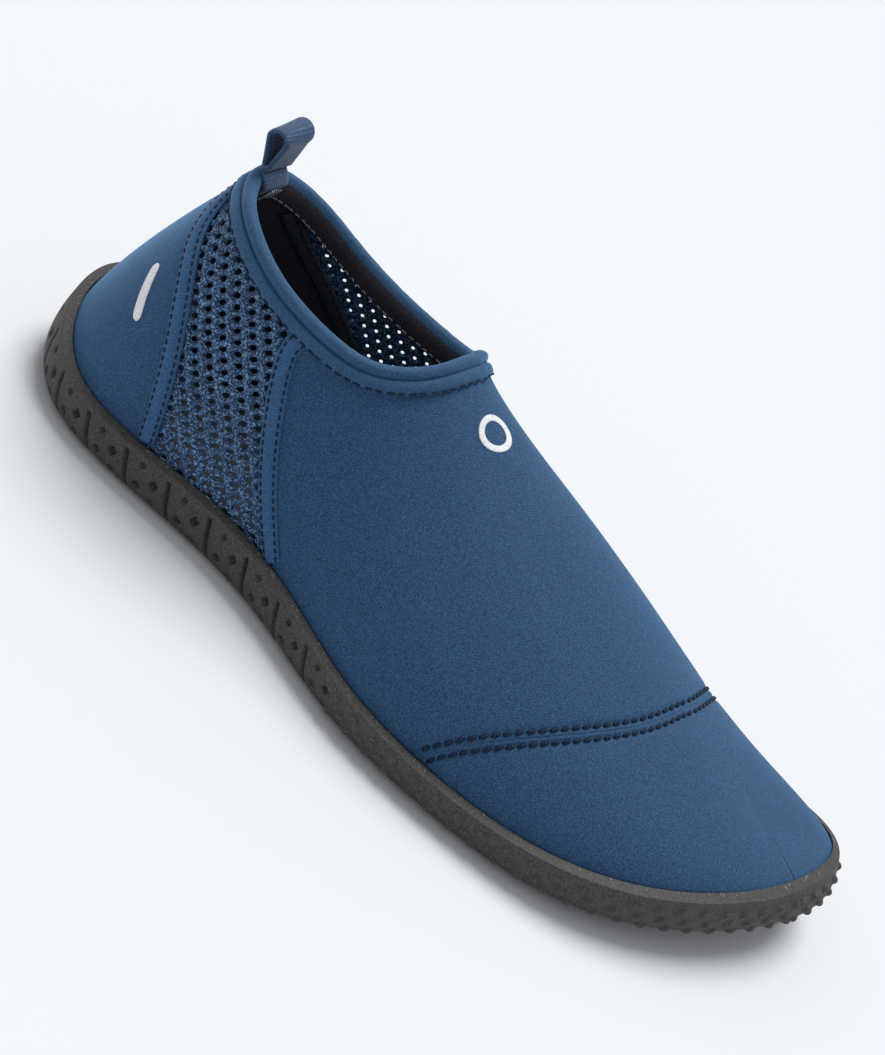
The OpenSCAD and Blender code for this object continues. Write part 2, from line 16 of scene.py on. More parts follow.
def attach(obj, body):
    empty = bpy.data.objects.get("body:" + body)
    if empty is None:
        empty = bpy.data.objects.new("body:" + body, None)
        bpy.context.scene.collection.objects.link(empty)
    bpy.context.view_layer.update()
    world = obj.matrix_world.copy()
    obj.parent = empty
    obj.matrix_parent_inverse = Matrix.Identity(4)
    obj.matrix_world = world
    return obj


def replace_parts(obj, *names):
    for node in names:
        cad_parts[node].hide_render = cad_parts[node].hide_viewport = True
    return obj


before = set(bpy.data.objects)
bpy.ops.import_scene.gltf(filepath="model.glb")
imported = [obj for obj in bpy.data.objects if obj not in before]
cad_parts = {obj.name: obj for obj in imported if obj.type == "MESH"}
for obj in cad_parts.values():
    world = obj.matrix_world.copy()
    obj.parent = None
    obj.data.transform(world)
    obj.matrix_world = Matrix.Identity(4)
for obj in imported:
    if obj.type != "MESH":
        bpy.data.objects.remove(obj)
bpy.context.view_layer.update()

MM = 0.001

# ---- sizes of the shoe, in millimetres, as the part has them ----
FOOT_L, BALL_W, INSTEP_H = 281, 101, 81
NEOPRENE_T, MESH_T, TAPE_W = 2.6, 1.6, 5.6
SOLE_T, WALL_T, FLARE, TOE_SPRING, HEEL_SPRING = 8, 3, 3.4, 12, 4
BOARD_T, LINER_T = 1.2, 4
BAND_W, LIP_DEPTH, LIP_T = 5.2, 7, 1.3
LOOP_T, LOOP_SHIFT = 1.6, 4
STITCH_L, THREAD_D, ROW_GAP = 3, 1.1, 3.4
HEEL_BAR_L, HEEL_BAR_W, VAMP_RING_D, VAMP_RING_W = 17, 3.2, 11, 1.9
GAP, GLUE_GAP, WIDE_Z, EDGE_R, TREAD_IN = 0.2, 0.5, 3.6, 1.4, 4.5
PANEL_DROP, BAND_TOP, MESH_SINK = 2.2, 1.2, 0.4
BAND_END = BAND_TOP + BAND_W
BEVEL_X, FLEX_X = 0.11 * FOOT_L, 0.66 * FOOT_L
LIP_INSIDE = -NEOPRENE_T - GAP
STEP = 0.002

# Round the edge of the foot bed: x / length, y / ball width, bulge, lower and upper fullness of
# the wall, and rise of the sole's rim (mm)
ROUNDS = np.array([
    [-0.020, 0.010, -0.4, 0.21, 0.31, 13],
    [0.037, -0.322, 0.3, 0.28, 0.33, 7.5],
    [0.135, -0.436, 1.6, 0.38, 0.40, 5],
    [0.276, -0.379, 2.5, 0.43, 0.48, 8],
    [0.390, -0.401, 3.3, 0.48, 0.54, 6.5],
    [0.514, -0.545, 3.5, 0.51, 0.56, 3],
    [0.664, -0.518, 2.7, 0.50, 0.55, 2.5],
    [0.833, -0.420, 1.8, 0.48, 0.55, 6.5],
    [0.982, 0.101, 1.8, 0.49, 0.55, 8.5],
    [0.982, 0.482, 2.4, 0.52, 0.56, 6],
    [0.847, 0.487, 2.4, 0.51, 0.56, 4.5],
    [0.680, 0.465, 3, 0.51, 0.56, 4.5],
    [0.528, 0.351, 3.2, 0.51, 0.56, 6],
    [0.390, 0.290, 3, 0.49, 0.53, 8],
    [0.249, 0.311, 1.9, 0.42, 0.46, 9],
    [0.101, 0.341, 0.7, 0.31, 0.38, 11],
])
# The top ridge: x / length, y / ball width, z / instep height
RIDGE = np.array([
    [0.196, 0.017, 1.457], [0.221, 0.022, 1.469], [0.302, 0.023, 1.247], [0.368, 0.022, 0.938],
    [0.534, 0.053, 0.805], [0.669, 0.079, 0.649], [0.769, 0.089, 0.498], [0.865, 0.101, 0.391],
])
# Lines over the surface as [around, up]
COLLAR = [
    np.array([[0, 0.572], [0.055, 0.560], [0.105, 0.505], [0.148, 0.460],
              [0.188, 0.505], [0.211, 0.610], [0.224, 0.790], [0.222, 1]]),
    np.array([[0, 0.572], [0.050, 0.530], [0.094, 0.430], [0.134, 0.418],
              [0.168, 0.482], [0.188, 0.590], [0.205, 0.780], [0.222, 1]]),
]
REAR_SEAM = [
    np.array([[0.152, 0.012], [0.147, 0.110], [0.137, 0.210],
              [0.121, 0.300], [0.096, 0.380], [0.066, 0.440]]),
    np.array([[0.152, 0.012], [0.146, 0.100], [0.136, 0.180],
              [0.120, 0.250], [0.098, 0.310], [0.074, 0.370]]),
]
FRONT_SEAM = [np.array([[0.249, 0.012], [0.233, 0.100], [0.215, 0.180],
                        [0.198, 0.260], [0.183, 0.340], [0.170, 0.420]])] * 2
TOE_SEAM = [
    np.array([[0.346, 0.012], [0.351, 0.150], [0.357, 0.290], [0.366, 0.460],
              [0.374, 0.640], [0.377, 0.820], [0.367, 1]]),
    np.array([[0.335, 0.012], [0.339, 0.150], [0.344, 0.300], [0.349, 0.480],
              [0.353, 0.650], [0.359, 0.820], [0.367, 1]]),
]
REAR_Q, FRONT_Q = [0.095, 0.120], [0.520, 0.580]
HEEL_SPOT, HEEL_RUN, VAMP_SPOT = (0.089, 0.280), (-0.026, 0.100), (0.2487, 0.895)


# ---- curves and the foot-shaped surface ----
def basis(f):
    """Weights of the four neighbours in a uniform cubic B-spline."""
    return [(1 - f) ** 3 / 6, (3 * f ** 3 - 6 * f * f + 4) / 6,
            (-3 * f ** 3 + 3 * f * f + 3 * f + 1) / 6, f ** 3 / 6]


def ring_at(v, q):
    """Smooth closed curve through the neighbourhood of the rows of v, at q in 0..1."""
    s = np.asarray(q, float) * len(v)
    i = np.floor(s).astype(int)
    w = basis(s - i)
    return sum(w[k][..., None] * v[(i + k - 1) % len(v)] for k in range(4))


def line_at(v, q, before=None):
    """Smooth open curve from the first row of v to the last."""
    v = np.asarray(v, float)
    n = len(v) - 1
    s = np.clip(np.asarray(q, float), 0, 1) * n
    i = np.minimum(np.floor(s).astype(int), n - 1)
    w = basis(s - i)
    e = np.vstack([2 * v[0] - v[1] if before is None else before, v, 2 * v[-1] - v[-2]])
    return sum(w[k][..., None] * e[i + k] for k in range(4))


def unit(v):
    return v / np.maximum(np.linalg.norm(v, axis=-1, keepdims=True), 1e-9)


def mix(a, b, f):
    return a + (b - a) * f


def smooth(x, low, high):
    """0 below low, 1 above high, eased between."""
    t = np.clip((x - low) / (high - low), 0, 1)
    return t * t * (3 - 2 * t)


def dot(a, b):
    return (a * b).sum(-1, keepdims=True)


def shares(n):
    """n + 1 even steps from 0 to 1."""
    return np.arange(n + 1) / n


def run_along(points):
    """Running length (mm) at each point of a line."""
    return np.append(0, np.cumsum(np.linalg.norm(np.diff(points, axis=0), axis=1)))


def crossed(a, b):
    """Grid of every pair of one value of a and one of b."""
    return np.stack([a[:, None] + 0 * b[None], b[None] + 0 * a[:, None]], -1)


def ground(x):
    toe = TOE_SPRING * np.clip((x - FLEX_X) / (0.982 * FOOT_L - FLEX_X), 0, None) ** 2
    return toe + HEEL_SPRING * np.clip((BEVEL_X - x) / BEVEL_X, 0, None) ** 2


def round_at(a):
    return ring_at(ROUNDS, a) * [FOOT_L, BALL_W, 1, 1, 1, 1]


def ridge_at(w):
    return line_at(RIDGE, w) * [FOOT_L, BALL_W, INSTEP_H]


def outward(a):
    d = round_at(a + STEP) - round_at(a - STEP)
    return unit(np.stack([d[..., 1], -d[..., 0], 0 * d[..., 0]], -1))


def ridge_share(a):
    s = 1 - abs(1 - 2 * (a - np.floor(a)))
    return np.sin(math.pi / 2 * s) ** 2


def ridge_slope(w):
    d = ridge_at(np.minimum(w + STEP, 1)) - ridge_at(np.maximum(w - STEP, 0))
    return d[..., 2] / d[..., 0]


def meridian(a):
    """Four control points of the line that runs up the wall to the ridge."""
    s, o, w = round_at(a), outward(a), ridge_share(a)
    low = np.stack([s[..., 0], s[..., 1], ground(s[..., 0]) + SOLE_T], -1)
    top = ridge_at(w)
    rise = s[..., 3] * (top[..., 2] - low[..., 2])
    lean = (low - top)[..., :2] * s[..., 4:5]
    near = low + np.stack([o[..., 0] * s[..., 2], o[..., 1] * s[..., 2], rise], -1)
    far = top + np.stack([lean[..., 0], lean[..., 1], ridge_slope(w) * lean[..., 0]], -1)
    return low, near, far, top


def on_meridian(c, t):
    t = t[..., None]
    s = 1 - t
    return s ** 3 * c[0] + 3 * s * s * t * c[1] + 3 * s * t * t * c[2] + t ** 3 * c[3]


def place(p):
    """Point, outward normal, and the two directions in the surface, at places [around, up]."""
    p = np.asarray(p, float)
    a, t = p[..., 0], np.clip(p[..., 1], 0, 1)
    c = meridian(a)
    du = (on_meridian(meridian(a + STEP), t) - on_meridian(meridian(a - STEP), t)) / (2 * STEP)
    k = t[..., None]
    dt = 3 * ((1 - k) ** 2 * (c[1] - c[0]) + 2 * (1 - k) * k * (c[2] - c[1]) + k * k * (c[3] - c[2]))
    s = ridge_slope(ridge_share(a))
    crest = unit(np.stack([-s, 0 * s, 1 + 0 * s], -1))
    side = unit(np.cross(du, dt))
    return on_meridian(c, t), np.where(k > 0.995, crest, side), du, dt


def raised(p, h):
    f = place(p)
    return f[0] + f[1] * h


def slid(p, d, dist):
    """The places reached from p by going dist (mm) in the direction d over the surface."""
    p = np.asarray(p, float)
    _, n, du, dt = place(p)
    g = unit(d - n * dot(d, n))
    uu, tt, ut, gu, gt = dot(du, du), dot(dt, dt), dot(du, dt), dot(g, du), dot(g, dt)
    det = uu * tt - ut * ut
    a = p[..., :1] + dist * (gu * tt - gt * ut) / det
    t = np.minimum(1, p[..., 1:] + dist * (gt * uu - gu * ut) / det)
    return np.concatenate([a, t], -1)


def sided(p, side):
    p = np.asarray(p, float)
    return p if side == 0 else np.stack([1 - p[..., 0], p[..., 1]], -1)


def half_collar(side, q):
    before = COLLAR[1 - side][1] * [-1, 1]
    return sided(line_at(COLLAR[side], q, before), side)


RING_N = 360
ring_q = np.arange(RING_N) / RING_N * 2
ring_places = np.where(ring_q[:, None] <= 1, half_collar(0, ring_q), half_collar(1, 2 - ring_q))
ring_frames = place(ring_places)
ring_down = unit(np.cross(np.roll(ring_frames[0], -1, 0) - np.roll(ring_frames[0], 1, 0), ring_frames[1]))


def below_ring(a):
    """Places a mm below every station of the opening's edge."""
    return slid(ring_places, ring_down, a)


def under_collar(side, q, a):
    """Places a mm below the edge at shares q of a half collar."""
    half = RING_N // 2
    stations = np.arange(half + 1) if side == 0 else (RING_N - np.arange(half + 1)) % RING_N
    at = shares(half)
    table = slid(half_collar(side, at), ring_down[stations], a)
    return np.stack([np.interp(q, at, table[:, 0]), np.interp(q, at, table[:, 1])], -1)


def seam_places(seam, side, n, a=PANEL_DROP):
    points, q = (FRONT_SEAM, FRONT_Q) if seam == "front" else (REAR_SEAM, REAR_Q)
    top = under_collar(side, np.array([q[side]]), a)
    return line_at(np.vstack([sided(points[side], side), top]), shares(n))


def toe_places(side, n):
    return sided(line_at(TOE_SEAM[side], shares(n)), side)


def between(left, right, low, high):
    """Sheet of places between four border lines."""
    v = (np.arange(len(low)) / (len(low) - 1))[:, None, None]
    w = (np.arange(len(left)) / (len(left) - 1))[None, :, None]
    corner = mix(mix(left[0], left[-1], w), mix(right[0], right[-1], w), v)
    return mix(low[:, None], high[:, None], w) + mix(left[None], right[None], v) - corner


def rim_up(a):
    low, near = meridian(a)[:2]
    return np.clip(round_at(a)[..., 5] / (3 * (near - low)[..., 2]), 0.05, 0.5)


def beside(a, out, z):
    """Point on the sidewall, out from the foot bed's edge, at a height above the ground."""
    p = meridian(a)[0] + outward(a) * out
    return np.stack([p[..., 0], p[..., 1], ground(p[..., 0]) + z], -1)


widest = beside(np.arange(96) / 96, FLARE, WIDE_Z)
CENTRE = np.append((widest.max(0) + widest.min(0))[:2] / 2, 0)


# ---- making objects ----
def new_object(name, points, faces, materials, face_slots=None, uv=None, body="shoe",
               merge=0.002, rise=None):
    """Closed mesh object from points in mm over the foot surface's frame."""
    mesh = bpy.data.meshes.new(name)
    verts = (np.asarray(points, float).reshape(-1, 3) - CENTRE) * MM
    mesh.from_pydata(verts.tolist(), [], [tuple(int(i) for i in f) for f in faces])
    for m in materials:
        mesh.materials.append(m)
    if face_slots is not None:
        mesh.polygons.foreach_set("material_index", np.asarray(face_slots, np.int32))
    if uv is not None:
        layer = mesh.uv_layers.new(name="flat")
        index = np.empty(len(mesh.loops), np.int32)
        mesh.loops.foreach_get("vertex_index", index)
        layer.data.foreach_set("uv", (np.asarray(uv).reshape(-1, 2)[index] * MM).ravel())
    if rise is not None:
        mesh.attributes.new("rise", "FLOAT", "POINT").data.foreach_set("value", np.asarray(rise, np.float32))
    mesh.polygons.foreach_set("use_smooth", [True] * len(mesh.polygons))
    mesh.update()
    work = bmesh.new()
    work.from_mesh(mesh)
    bmesh.ops.remove_doubles(work, verts=work.verts, dist=merge * MM)
    bmesh.ops.recalc_face_normals(work, faces=work.faces)
    work.to_mesh(mesh)
    work.free()
    obj = bpy.data.objects.new(name, mesh)
    bpy.context.collection.objects.link(obj)
    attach(obj, body)
    return obj


def grid_faces(n, m, start=0, wrap_n=False, wrap_m=False, flip=False):
    rows, columns = np.arange(n if wrap_n else n - 1), np.arange(m if wrap_m else m - 1)
    i, j = np.meshgrid(rows, columns, indexing="ij")
    i, j = i.ravel(), j.ravel()
    k, l = (i + 1) % n, (j + 1) % m
    quads = np.stack([i * m + j, i * m + l, k * m + l, k * m + j], 1) + start
    return quads[:, ::-1] if flip else quads


def hem_faces(n, m, far, wrap_n=False):
    """Walls between two stacked n by m grids, round their open borders."""
    border = []
    if not wrap_n:
        border += [(i * m, (i + 1) * m) for i in range(n - 1)]
        border += [((n - 1) * m + j, (n - 1) * m + j + 1) for j in range(m - 1)]
        border += [((i + 1) * m + m - 1, i * m + m - 1) for i in range(n - 2, -1, -1)]
        border += [(j + 1, j) for j in range(m - 2, -1, -1)]
    else:
        border += [(i * m, ((i + 1) % n) * m) for i in range(n)]
        border += [(((i + 1) % n) * m + m - 1, i * m + m - 1) for i in range(n)]
    return np.array([[a, b, b + far, a + far] for a, b in border])


def flat_uv(grid):
    """Running lengths over a grid of points, so that a weave keeps its scale."""
    across = np.linalg.norm(np.diff(grid, axis=0), axis=-1).mean(1)
    up = np.linalg.norm(np.diff(grid, axis=1), axis=-1)
    a = np.append(0, np.cumsum(across))[:, None] + np.zeros(grid.shape[1])
    b = np.concatenate([np.zeros((len(grid), 1)), np.cumsum(up, axis=1)], 1)
    return np.stack([a, b], -1)


def skin(name, places, top, low, materials, wrap_n=False, merge=0.0, relief=None):
    """Panel of cloth on the foot surface. The inner face takes the last material."""
    point, normal, _, _ = place(places)
    n, m = places.shape[:2]
    rise = top if relief is None else top + relief(point)
    rise = np.asarray(rise)[..., None] if np.ndim(rise) else rise
    points = np.concatenate([(point + normal * h).reshape(-1, 3) for h in (rise, low)])
    outer = grid_faces(n, m, 0, wrap_n)
    inner = grid_faces(n, m, n * m, wrap_n, flip=True)
    hem = hem_faces(n, m, n * m, wrap_n)
    last = len(materials) - 1
    slots = np.concatenate([np.zeros(len(outer)), np.full(len(inner), last), np.zeros(len(hem))])
    uv = flat_uv(point)
    return new_object(name, points, np.concatenate([outer, inner, hem]), materials, slots,
                      np.stack([uv, uv]), merge=merge)


def distance_to(points, line):
    """Distance (mm) from a grid of points to a polyline's points."""
    flat = points.reshape(-1, 3)
    best = np.full(len(flat), 1e9)
    for q in line:
        best = np.minimum(best, ((flat - q) ** 2).sum(1))
    return np.sqrt(best).reshape(points.shape[:-1])


def sweep(name, rings, materials, closed=True, face_slot=None, uv=None, body="shoe"):
    """Solid swept through equal closed outlines; rings is n by m by 3."""
    n, m = rings.shape[:2]
    faces = grid_faces(n, m, 0, closed, True)
    slots = np.zeros(len(faces))
    if face_slot is not None:
        slots = np.tile(face_slot, len(faces) // m)
    faces = [tuple(f) for f in faces]
    if not closed:
        faces += [tuple(range(m - 1, -1, -1)), tuple(range((n - 1) * m, n * m))]
        slots = np.append(slots, [0, 0])
    return new_object(name, rings, faces, materials, slots, uv, body)


def noise_wave(x, seeds, amounts):
    """Repeatable uneven wave along x (mm)."""
    return sum(a * np.sin(x * 2 * math.pi / s + 1.7 * k) for k, (s, a) in enumerate(zip(seeds, amounts)))


# ---- materials ----
class Look:
    """Short names for the nodes of one procedural material."""

    def __init__(self, name, rough, **sockets):
        self.material = bpy.data.materials.new(name)
        self.material.use_nodes = True
        self.nodes = self.material.node_tree.nodes
        self.links = self.material.node_tree.links
        self.shader = self.nodes["Principled BSDF"]
        self.shader.inputs["Roughness"].default_value = rough
        for key, value in sockets.items():
            self.shader.inputs[key.replace("_", " ")].default_value = value

    def node(self, kind, inputs=(), **settings):
        made = self.nodes.new(kind)
        for key, value in settings.items():
            setattr(made, key, value)
        for key, value in dict(inputs).items():
            if isinstance(value, bpy.types.NodeSocket):
                self.links.new(value, made.inputs[key])
            else:
                made.inputs[key].default_value = value
        return made

    def flat(self, scale):
        """The cloth's own flat coordinates, in units of 1 / scale metres."""
        uv = self.node("ShaderNodeUVMap", uv_map="flat")
        return self.node("ShaderNodeMapping", {0: uv.outputs[0], "Scale": scale}).outputs[0]

    def solid(self):
        return self.node("ShaderNodeTexCoord").outputs["Object"]

    def noise(self, scale, detail=2, rough=0.5, vector=None, out="Fac"):
        ins = {"Vector": vector or self.solid(), "Scale": scale, "Detail": detail, "Roughness": rough}
        return self.node("ShaderNodeTexNoise", ins).outputs[out]

    def cells(self, scale, vector=None, feature="F1", out="Distance"):
        ins = {"Vector": vector or self.solid(), "Scale": scale}
        return self.node("ShaderNodeTexVoronoi", ins, feature=feature).outputs[out]

    def wave(self, vector, pitch, direction="X", distortion=0.0, detail=2):
        """Bands a given pitch (mm) apart."""
        ins = {"Vector": vector, "Scale": math.pi / (10 * pitch * MM), "Distortion": distortion,
               "Detail": detail, "Detail Scale": 1.5}
        return self.node("ShaderNodeTexWave", ins, bands_direction=direction).outputs["Fac"]

    def math(self, kind, a, b=0.0):
        return self.node("ShaderNodeMath", {0: a, 1: b}, operation=kind).outputs[0]

    def ramp(self, fac, *stops):
        ramp = self.node("ShaderNodeValToRGB", {"Fac": fac})
        line = ramp.color_ramp
        while len(line.elements) < len(stops):
            line.elements.new(0.5)
        for element, (at, colour) in zip(line.elements, stops):
            element.position = at
            element.color = (*colour, 1) if len(colour) == 3 else colour
        return ramp.outputs["Color"]

    def blend(self, a, b, fac, mode="MIX"):
        made = self.node("ShaderNodeMix", {0: fac}, data_type="RGBA", blend_type=mode)
        for key, value in ((6, a), (7, b)):
            if isinstance(value, bpy.types.NodeSocket):
                self.links.new(value, made.inputs[key])
            else:
                made.inputs[key].default_value = (*value, 1)
        return made.outputs[2]

    def colour(self, socket):
        self.links.new(socket, self.shader.inputs["Base Color"])

    def rough(self, fac, low, high):
        self.links.new(self.node("ShaderNodeMapRange", {0: fac, 3: low, 4: high}).outputs[0],
                       self.shader.inputs["Roughness"])

    def bump(self, height, strength, depth, after=None):
        """Bump of a real depth in mm; several are chained through after."""
        ins = {"Height": height, "Strength": strength, "Distance": depth * MM}
        if after is not None:
            ins["Normal"] = after
        out = self.node("ShaderNodeBump", ins).outputs[0]
        if self.shader.inputs["Normal"].is_linked:
            self.links.remove(self.shader.inputs["Normal"].links[0])
        self.links.new(out, self.shader.inputs["Normal"])
        return out


def shade(colour, f):
    return tuple(c * f for c in colour)


def knit_look(name, colour, heather=0.28, pitch=0.7, sheen=0.5, depth=0.12, rough=0.72):
    """Fine knit with flecked yarn: courses and wales in the bump, heather in the colour."""
    look = Look(name, rough, Sheen_Weight=sheen, Sheen_Roughness=0.45, Specular_IOR_Level=0.25)
    look.shader.inputs["Sheen Tint"].default_value = (0.30, 0.62, 1.0, 1)
    flat = look.flat((1, 1, 1))
    fleck = look.noise(2300, 3, 0.62)
    cloud = look.noise(60, 2)
    tone = look.ramp(fleck, (0.38, shade(colour, 1 - heather * 2.0)), (0.5, colour),
                     (0.62, shade(colour, 1 + heather * 2.4)))
    worn = look.blend(tone, shade(colour, 1.12), look.math("MULTIPLY", cloud, 0.35))
    look.colour(worn)
    wale = look.wave(flat, pitch, "X", 1.2)
    rib = look.wave(flat, pitch * 0.8, "Y", 1.2)
    first = look.bump(look.math("MULTIPLY", wale, rib), 0.5, depth)
    look.bump(fleck, 0.35, depth, first)
    look.rough(fleck, rough - 0.08, rough + 0.1)
    return look.material


NEOPRENE = (0.022, 0.070, 0.158)
BAND = (0.028, 0.080, 0.170)
TAPE = (0.030, 0.104, 0.240)
WEBBING = (0.036, 0.088, 0.185)

neoprene = knit_look("neoprene_knit", NEOPRENE)
binding = knit_look("binding_knit", BAND, heather=0.2, pitch=0.5, depth=0.08)
lining = knit_look("lining_knit", (0.042, 0.042, 0.052), heather=0.3, sheen=0.10)
footbed = knit_look("footbed_knit", (0.012, 0.014, 0.018), heather=0.4, pitch=1.2, sheen=0.15)


def tape_look():
    look = Look("seam_tape", 0.55, Sheen_Weight=0.08, Sheen_Roughness=0.4, Specular_IOR_Level=0.3)
    flat = look.flat((1, 1, 1))
    yarn = look.wave(flat, 0.9, "X", 0.6)
    fleck = look.noise(1300, 2)
    tone = look.ramp(fleck, (0.3, shade(TAPE, 0.72)), (0.7, shade(TAPE, 1.3)))
    look.colour(look.blend(tone, shade(TAPE, 0.6), look.math("MULTIPLY", yarn, 0.45)))
    look.bump(yarn, 0.5, 0.12)
    return look.material


def mesh_look():
    look = Look("air_mesh_yarn", 0.5, Sheen_Weight=0.05, Sheen_Roughness=0.35, Specular_IOR_Level=0.4)
    strand = look.cells(1700)
    fleck = look.noise(1700, 2, 0.6)
    tone = look.ramp(fleck, (0.40, (0.003, 0.011, 0.032)), (0.48, (0.018, 0.062, 0.155)),
                     (0.55, (0.062, 0.175, 0.38)), (0.62, (0.24, 0.46, 0.72)))
    look.colour(look.blend(tone, (0.012, 0.03, 0.07), look.math("MULTIPLY", strand, 0.6)))
    first = look.bump(fleck, 0.8, 0.25)
    look.bump(strand, 0.8, 0.2, first)
    return look.material


def webbing_look():
    look = Look("webbing", 0.6, Sheen_Weight=0.3, Sheen_Roughness=0.4, Specular_IOR_Level=0.3)
    flat = look.flat((1, 1, 1))
    pick = look.wave(flat, 1.0, "X", 0.3)
    fleck = look.noise(1400, 2)
    tone = look.ramp(fleck, (0.3, shade(WEBBING, 0.6)), (0.7, shade(WEBBING, 1.45)))
    look.colour(look.blend(tone, shade(WEBBING, 0.45), look.math("MULTIPLY", pick, 0.5)))
    look.bump(pick, 0.6, 0.2)
    return look.material


def thread_look(name, dark, light, rough=0.5):
    """Twisted thread: a slanted ply along its own length."""
    look = Look(name, rough, Specular_IOR_Level=0.2)
    ply = look.wave(look.solid(), 0.55, "DIAGONAL", 0.5)
    look.colour(look.ramp(ply, (0.2, dark), (0.85, light)))
    look.bump(ply, 0.6, 0.15)
    return look.material


def rubber_look():
    look = Look("moulded_rubber", 0.62, Specular_IOR_Level=0.4)
    grain = look.noise(1900, 3, 0.7)
    coarse = look.noise(160, 3)
    rise = look.node("ShaderNodeAttribute", attribute_name="rise").outputs["Fac"]
    body = look.ramp(grain, (0.38, (0.030, 0.028, 0.028)), (0.50, (0.058, 0.055, 0.054)),
                     (0.62, (0.112, 0.106, 0.103)))
    body = look.blend(body, (0.045, 0.043, 0.042), look.math("MULTIPLY", coarse, 0.5))
    speck = look.math("GREATER_THAN", look.noise(1100, 2, 0.6), 0.665)
    near_rim = look.ramp(rise, (0.72, (0.05, 0.05, 0.05)), (0.93, (0.9, 0.9, 0.9)))
    body = look.blend(body, (0.28, 0.25, 0.20), look.math("MULTIPLY", speck, near_rim))
    look.colour(body)
    look.rough(grain, 0.5, 0.8)
    first = look.bump(grain, 0.45, 0.22)
    look.bump(coarse, 0.3, 0.3, first)
    return look.material


def print_look():
    look = Look("transfer_print", 0.5, Specular_IOR_Level=0.35)
    weave = look.noise(1500, 2)
    look.colour(look.ramp(weave, (0.25, (0.62, 0.64, 0.66)), (0.55, (0.86, 0.87, 0.88))))
    look.bump(weave, 0.4, 0.1)
    return look.material


def board_look():
    look = Look("fibre_board", 0.9)
    fibre = look.noise(500, 4, 0.7)
    look.colour(look.ramp(fibre, (0.3, (0.008, 0.008, 0.009)), (0.7, (0.024, 0.024, 0.026))))
    look.bump(fibre, 0.6, 0.2)
    return look.material


seam_tape, air_mesh, webbing, rubber = tape_look(), mesh_look(), webbing_look(), rubber_look()
navy_thread = thread_look("navy_thread", (0.002, 0.008, 0.024), (0.008, 0.026, 0.066))
grey_thread = thread_look("grey_thread", (0.10, 0.12, 0.15), (0.48, 0.50, 0.54))
white_print, fibre_board = print_look(), board_look()

# ---- outsole ----
SOLE_N = 1600
WALL_V = 72
SLIT_FIRST, SLIT_PITCH, SLIT_COUNT = 11, 15.2, 11
SLIT_LEAN, SLIT_DEPTH, SLIT_HALF, SLIT_TOP = 5.5, 2.2, 0.8, 0.84
WALL_FOOT, WALL_HEAD = 0.17, 0.571
WALL_H = 15
RELIEF_END = (0.70, 0.76)  # the moulded pattern fades out between these shares of the wall
DIMPLES = ((4.3, 0.32, 1), (10.4, 0.60, 1), (9.4, 0.13, 1), (6.0, 0.82, 0.75))
DIMPLE_DEPTH, DIMPLE_W, DIMPLE_H = 2.1, 1.7, 2.1
NUB_PITCH, NUB_R, NUB_H, NUB_ROWS = 7.4, 1.7, 1.1, (0.20, 0.46, 0.72)
NUB_START = SLIT_FIRST + SLIT_COUNT * SLIT_PITCH - 7
TREAD_PITCH, TREAD_SWAY, TREAD_TURN, TREAD_DEPTH = 9.5, 3.2, 12.6, 1.6


def sole_levels(a):
    """Control points of the wall from the tread up to the rim, then down to the foot bed."""
    up, o = rim_up(a), outward(a)
    rim, half = place(np.stack([a, up], -1)), place(np.stack([a, up / 2], -1))
    bed, low = meridian(a)[0], beside(a, FLARE, WIDE_Z)
    high = rim[0] + (o - [0, 0, 0.15]) * (WALL_T + GLUE_GAP)
    inner = rim[0] + rim[1] * GLUE_GAP
    belly = mix(low, high, 0.5) + o * WALL_T * 0.2
    wall = [beside(a, FLARE - TREAD_IN, 0), beside(a, FLARE - EDGE_R, EDGE_R * 0.65), low, belly, high, high,
            mix(high, inner, 0.5), inner]
    return wall, [half[0] + half[1] * GLUE_GAP, bed + o * GLUE_GAP - [0, 0, GAP]]


def across_foot(ring, n):
    """Grid between the two sides of a ring that goes round the foot."""
    half = len(ring) // 2
    j = np.arange(half + 1)
    v = (np.arange(n + 1) / n)[None, :, None]
    return mix(ring[j][:, None], ring[-j][:, None], v), v[..., 0] + 0 * j[:, None]


def wall_relief(s, h):
    """Height (mm) of the moulded pattern at run s from the heel and wall height h (0 ground, 1 rim)."""
    relief = np.zeros_like(s)
    for k in range(SLIT_COUNT):
        foot = SLIT_FIRST + k * SLIT_PITCH
        off = s - foot + SLIT_LEAN * h
        below_top = 1 - smooth(h, SLIT_TOP, SLIT_TOP + 0.10)
        slit = (1 - smooth(abs(off), SLIT_HALF * 0.35, SLIT_HALF)) * below_top * smooth(h, -0.25, -0.1)
        relief -= SLIT_DEPTH * slit
        for ahead, level, size in DIMPLES:
            a = (s - foot - ahead + SLIT_LEAN * level) / size
            b = (h - level) * WALL_H / size
            reach = abs(a + 0.3 * b) / DIMPLE_W + abs(b - 0.3 * a) / DIMPLE_H
            relief -= DIMPLE_DEPTH * size ** 2 * (1 - smooth(reach, 0.72, 1.0))
    fore = smooth(s, NUB_START - 2, NUB_START + 2)
    for row, height in enumerate(NUB_ROWS):
        a = (s + row * NUB_PITCH / 2) % NUB_PITCH - NUB_PITCH / 2
        r = np.hypot(a, (h - height) * WALL_H)
        relief += NUB_H * fore * np.clip(1 - (r / NUB_R) ** 2, 0, None) ** 0.7
    return relief


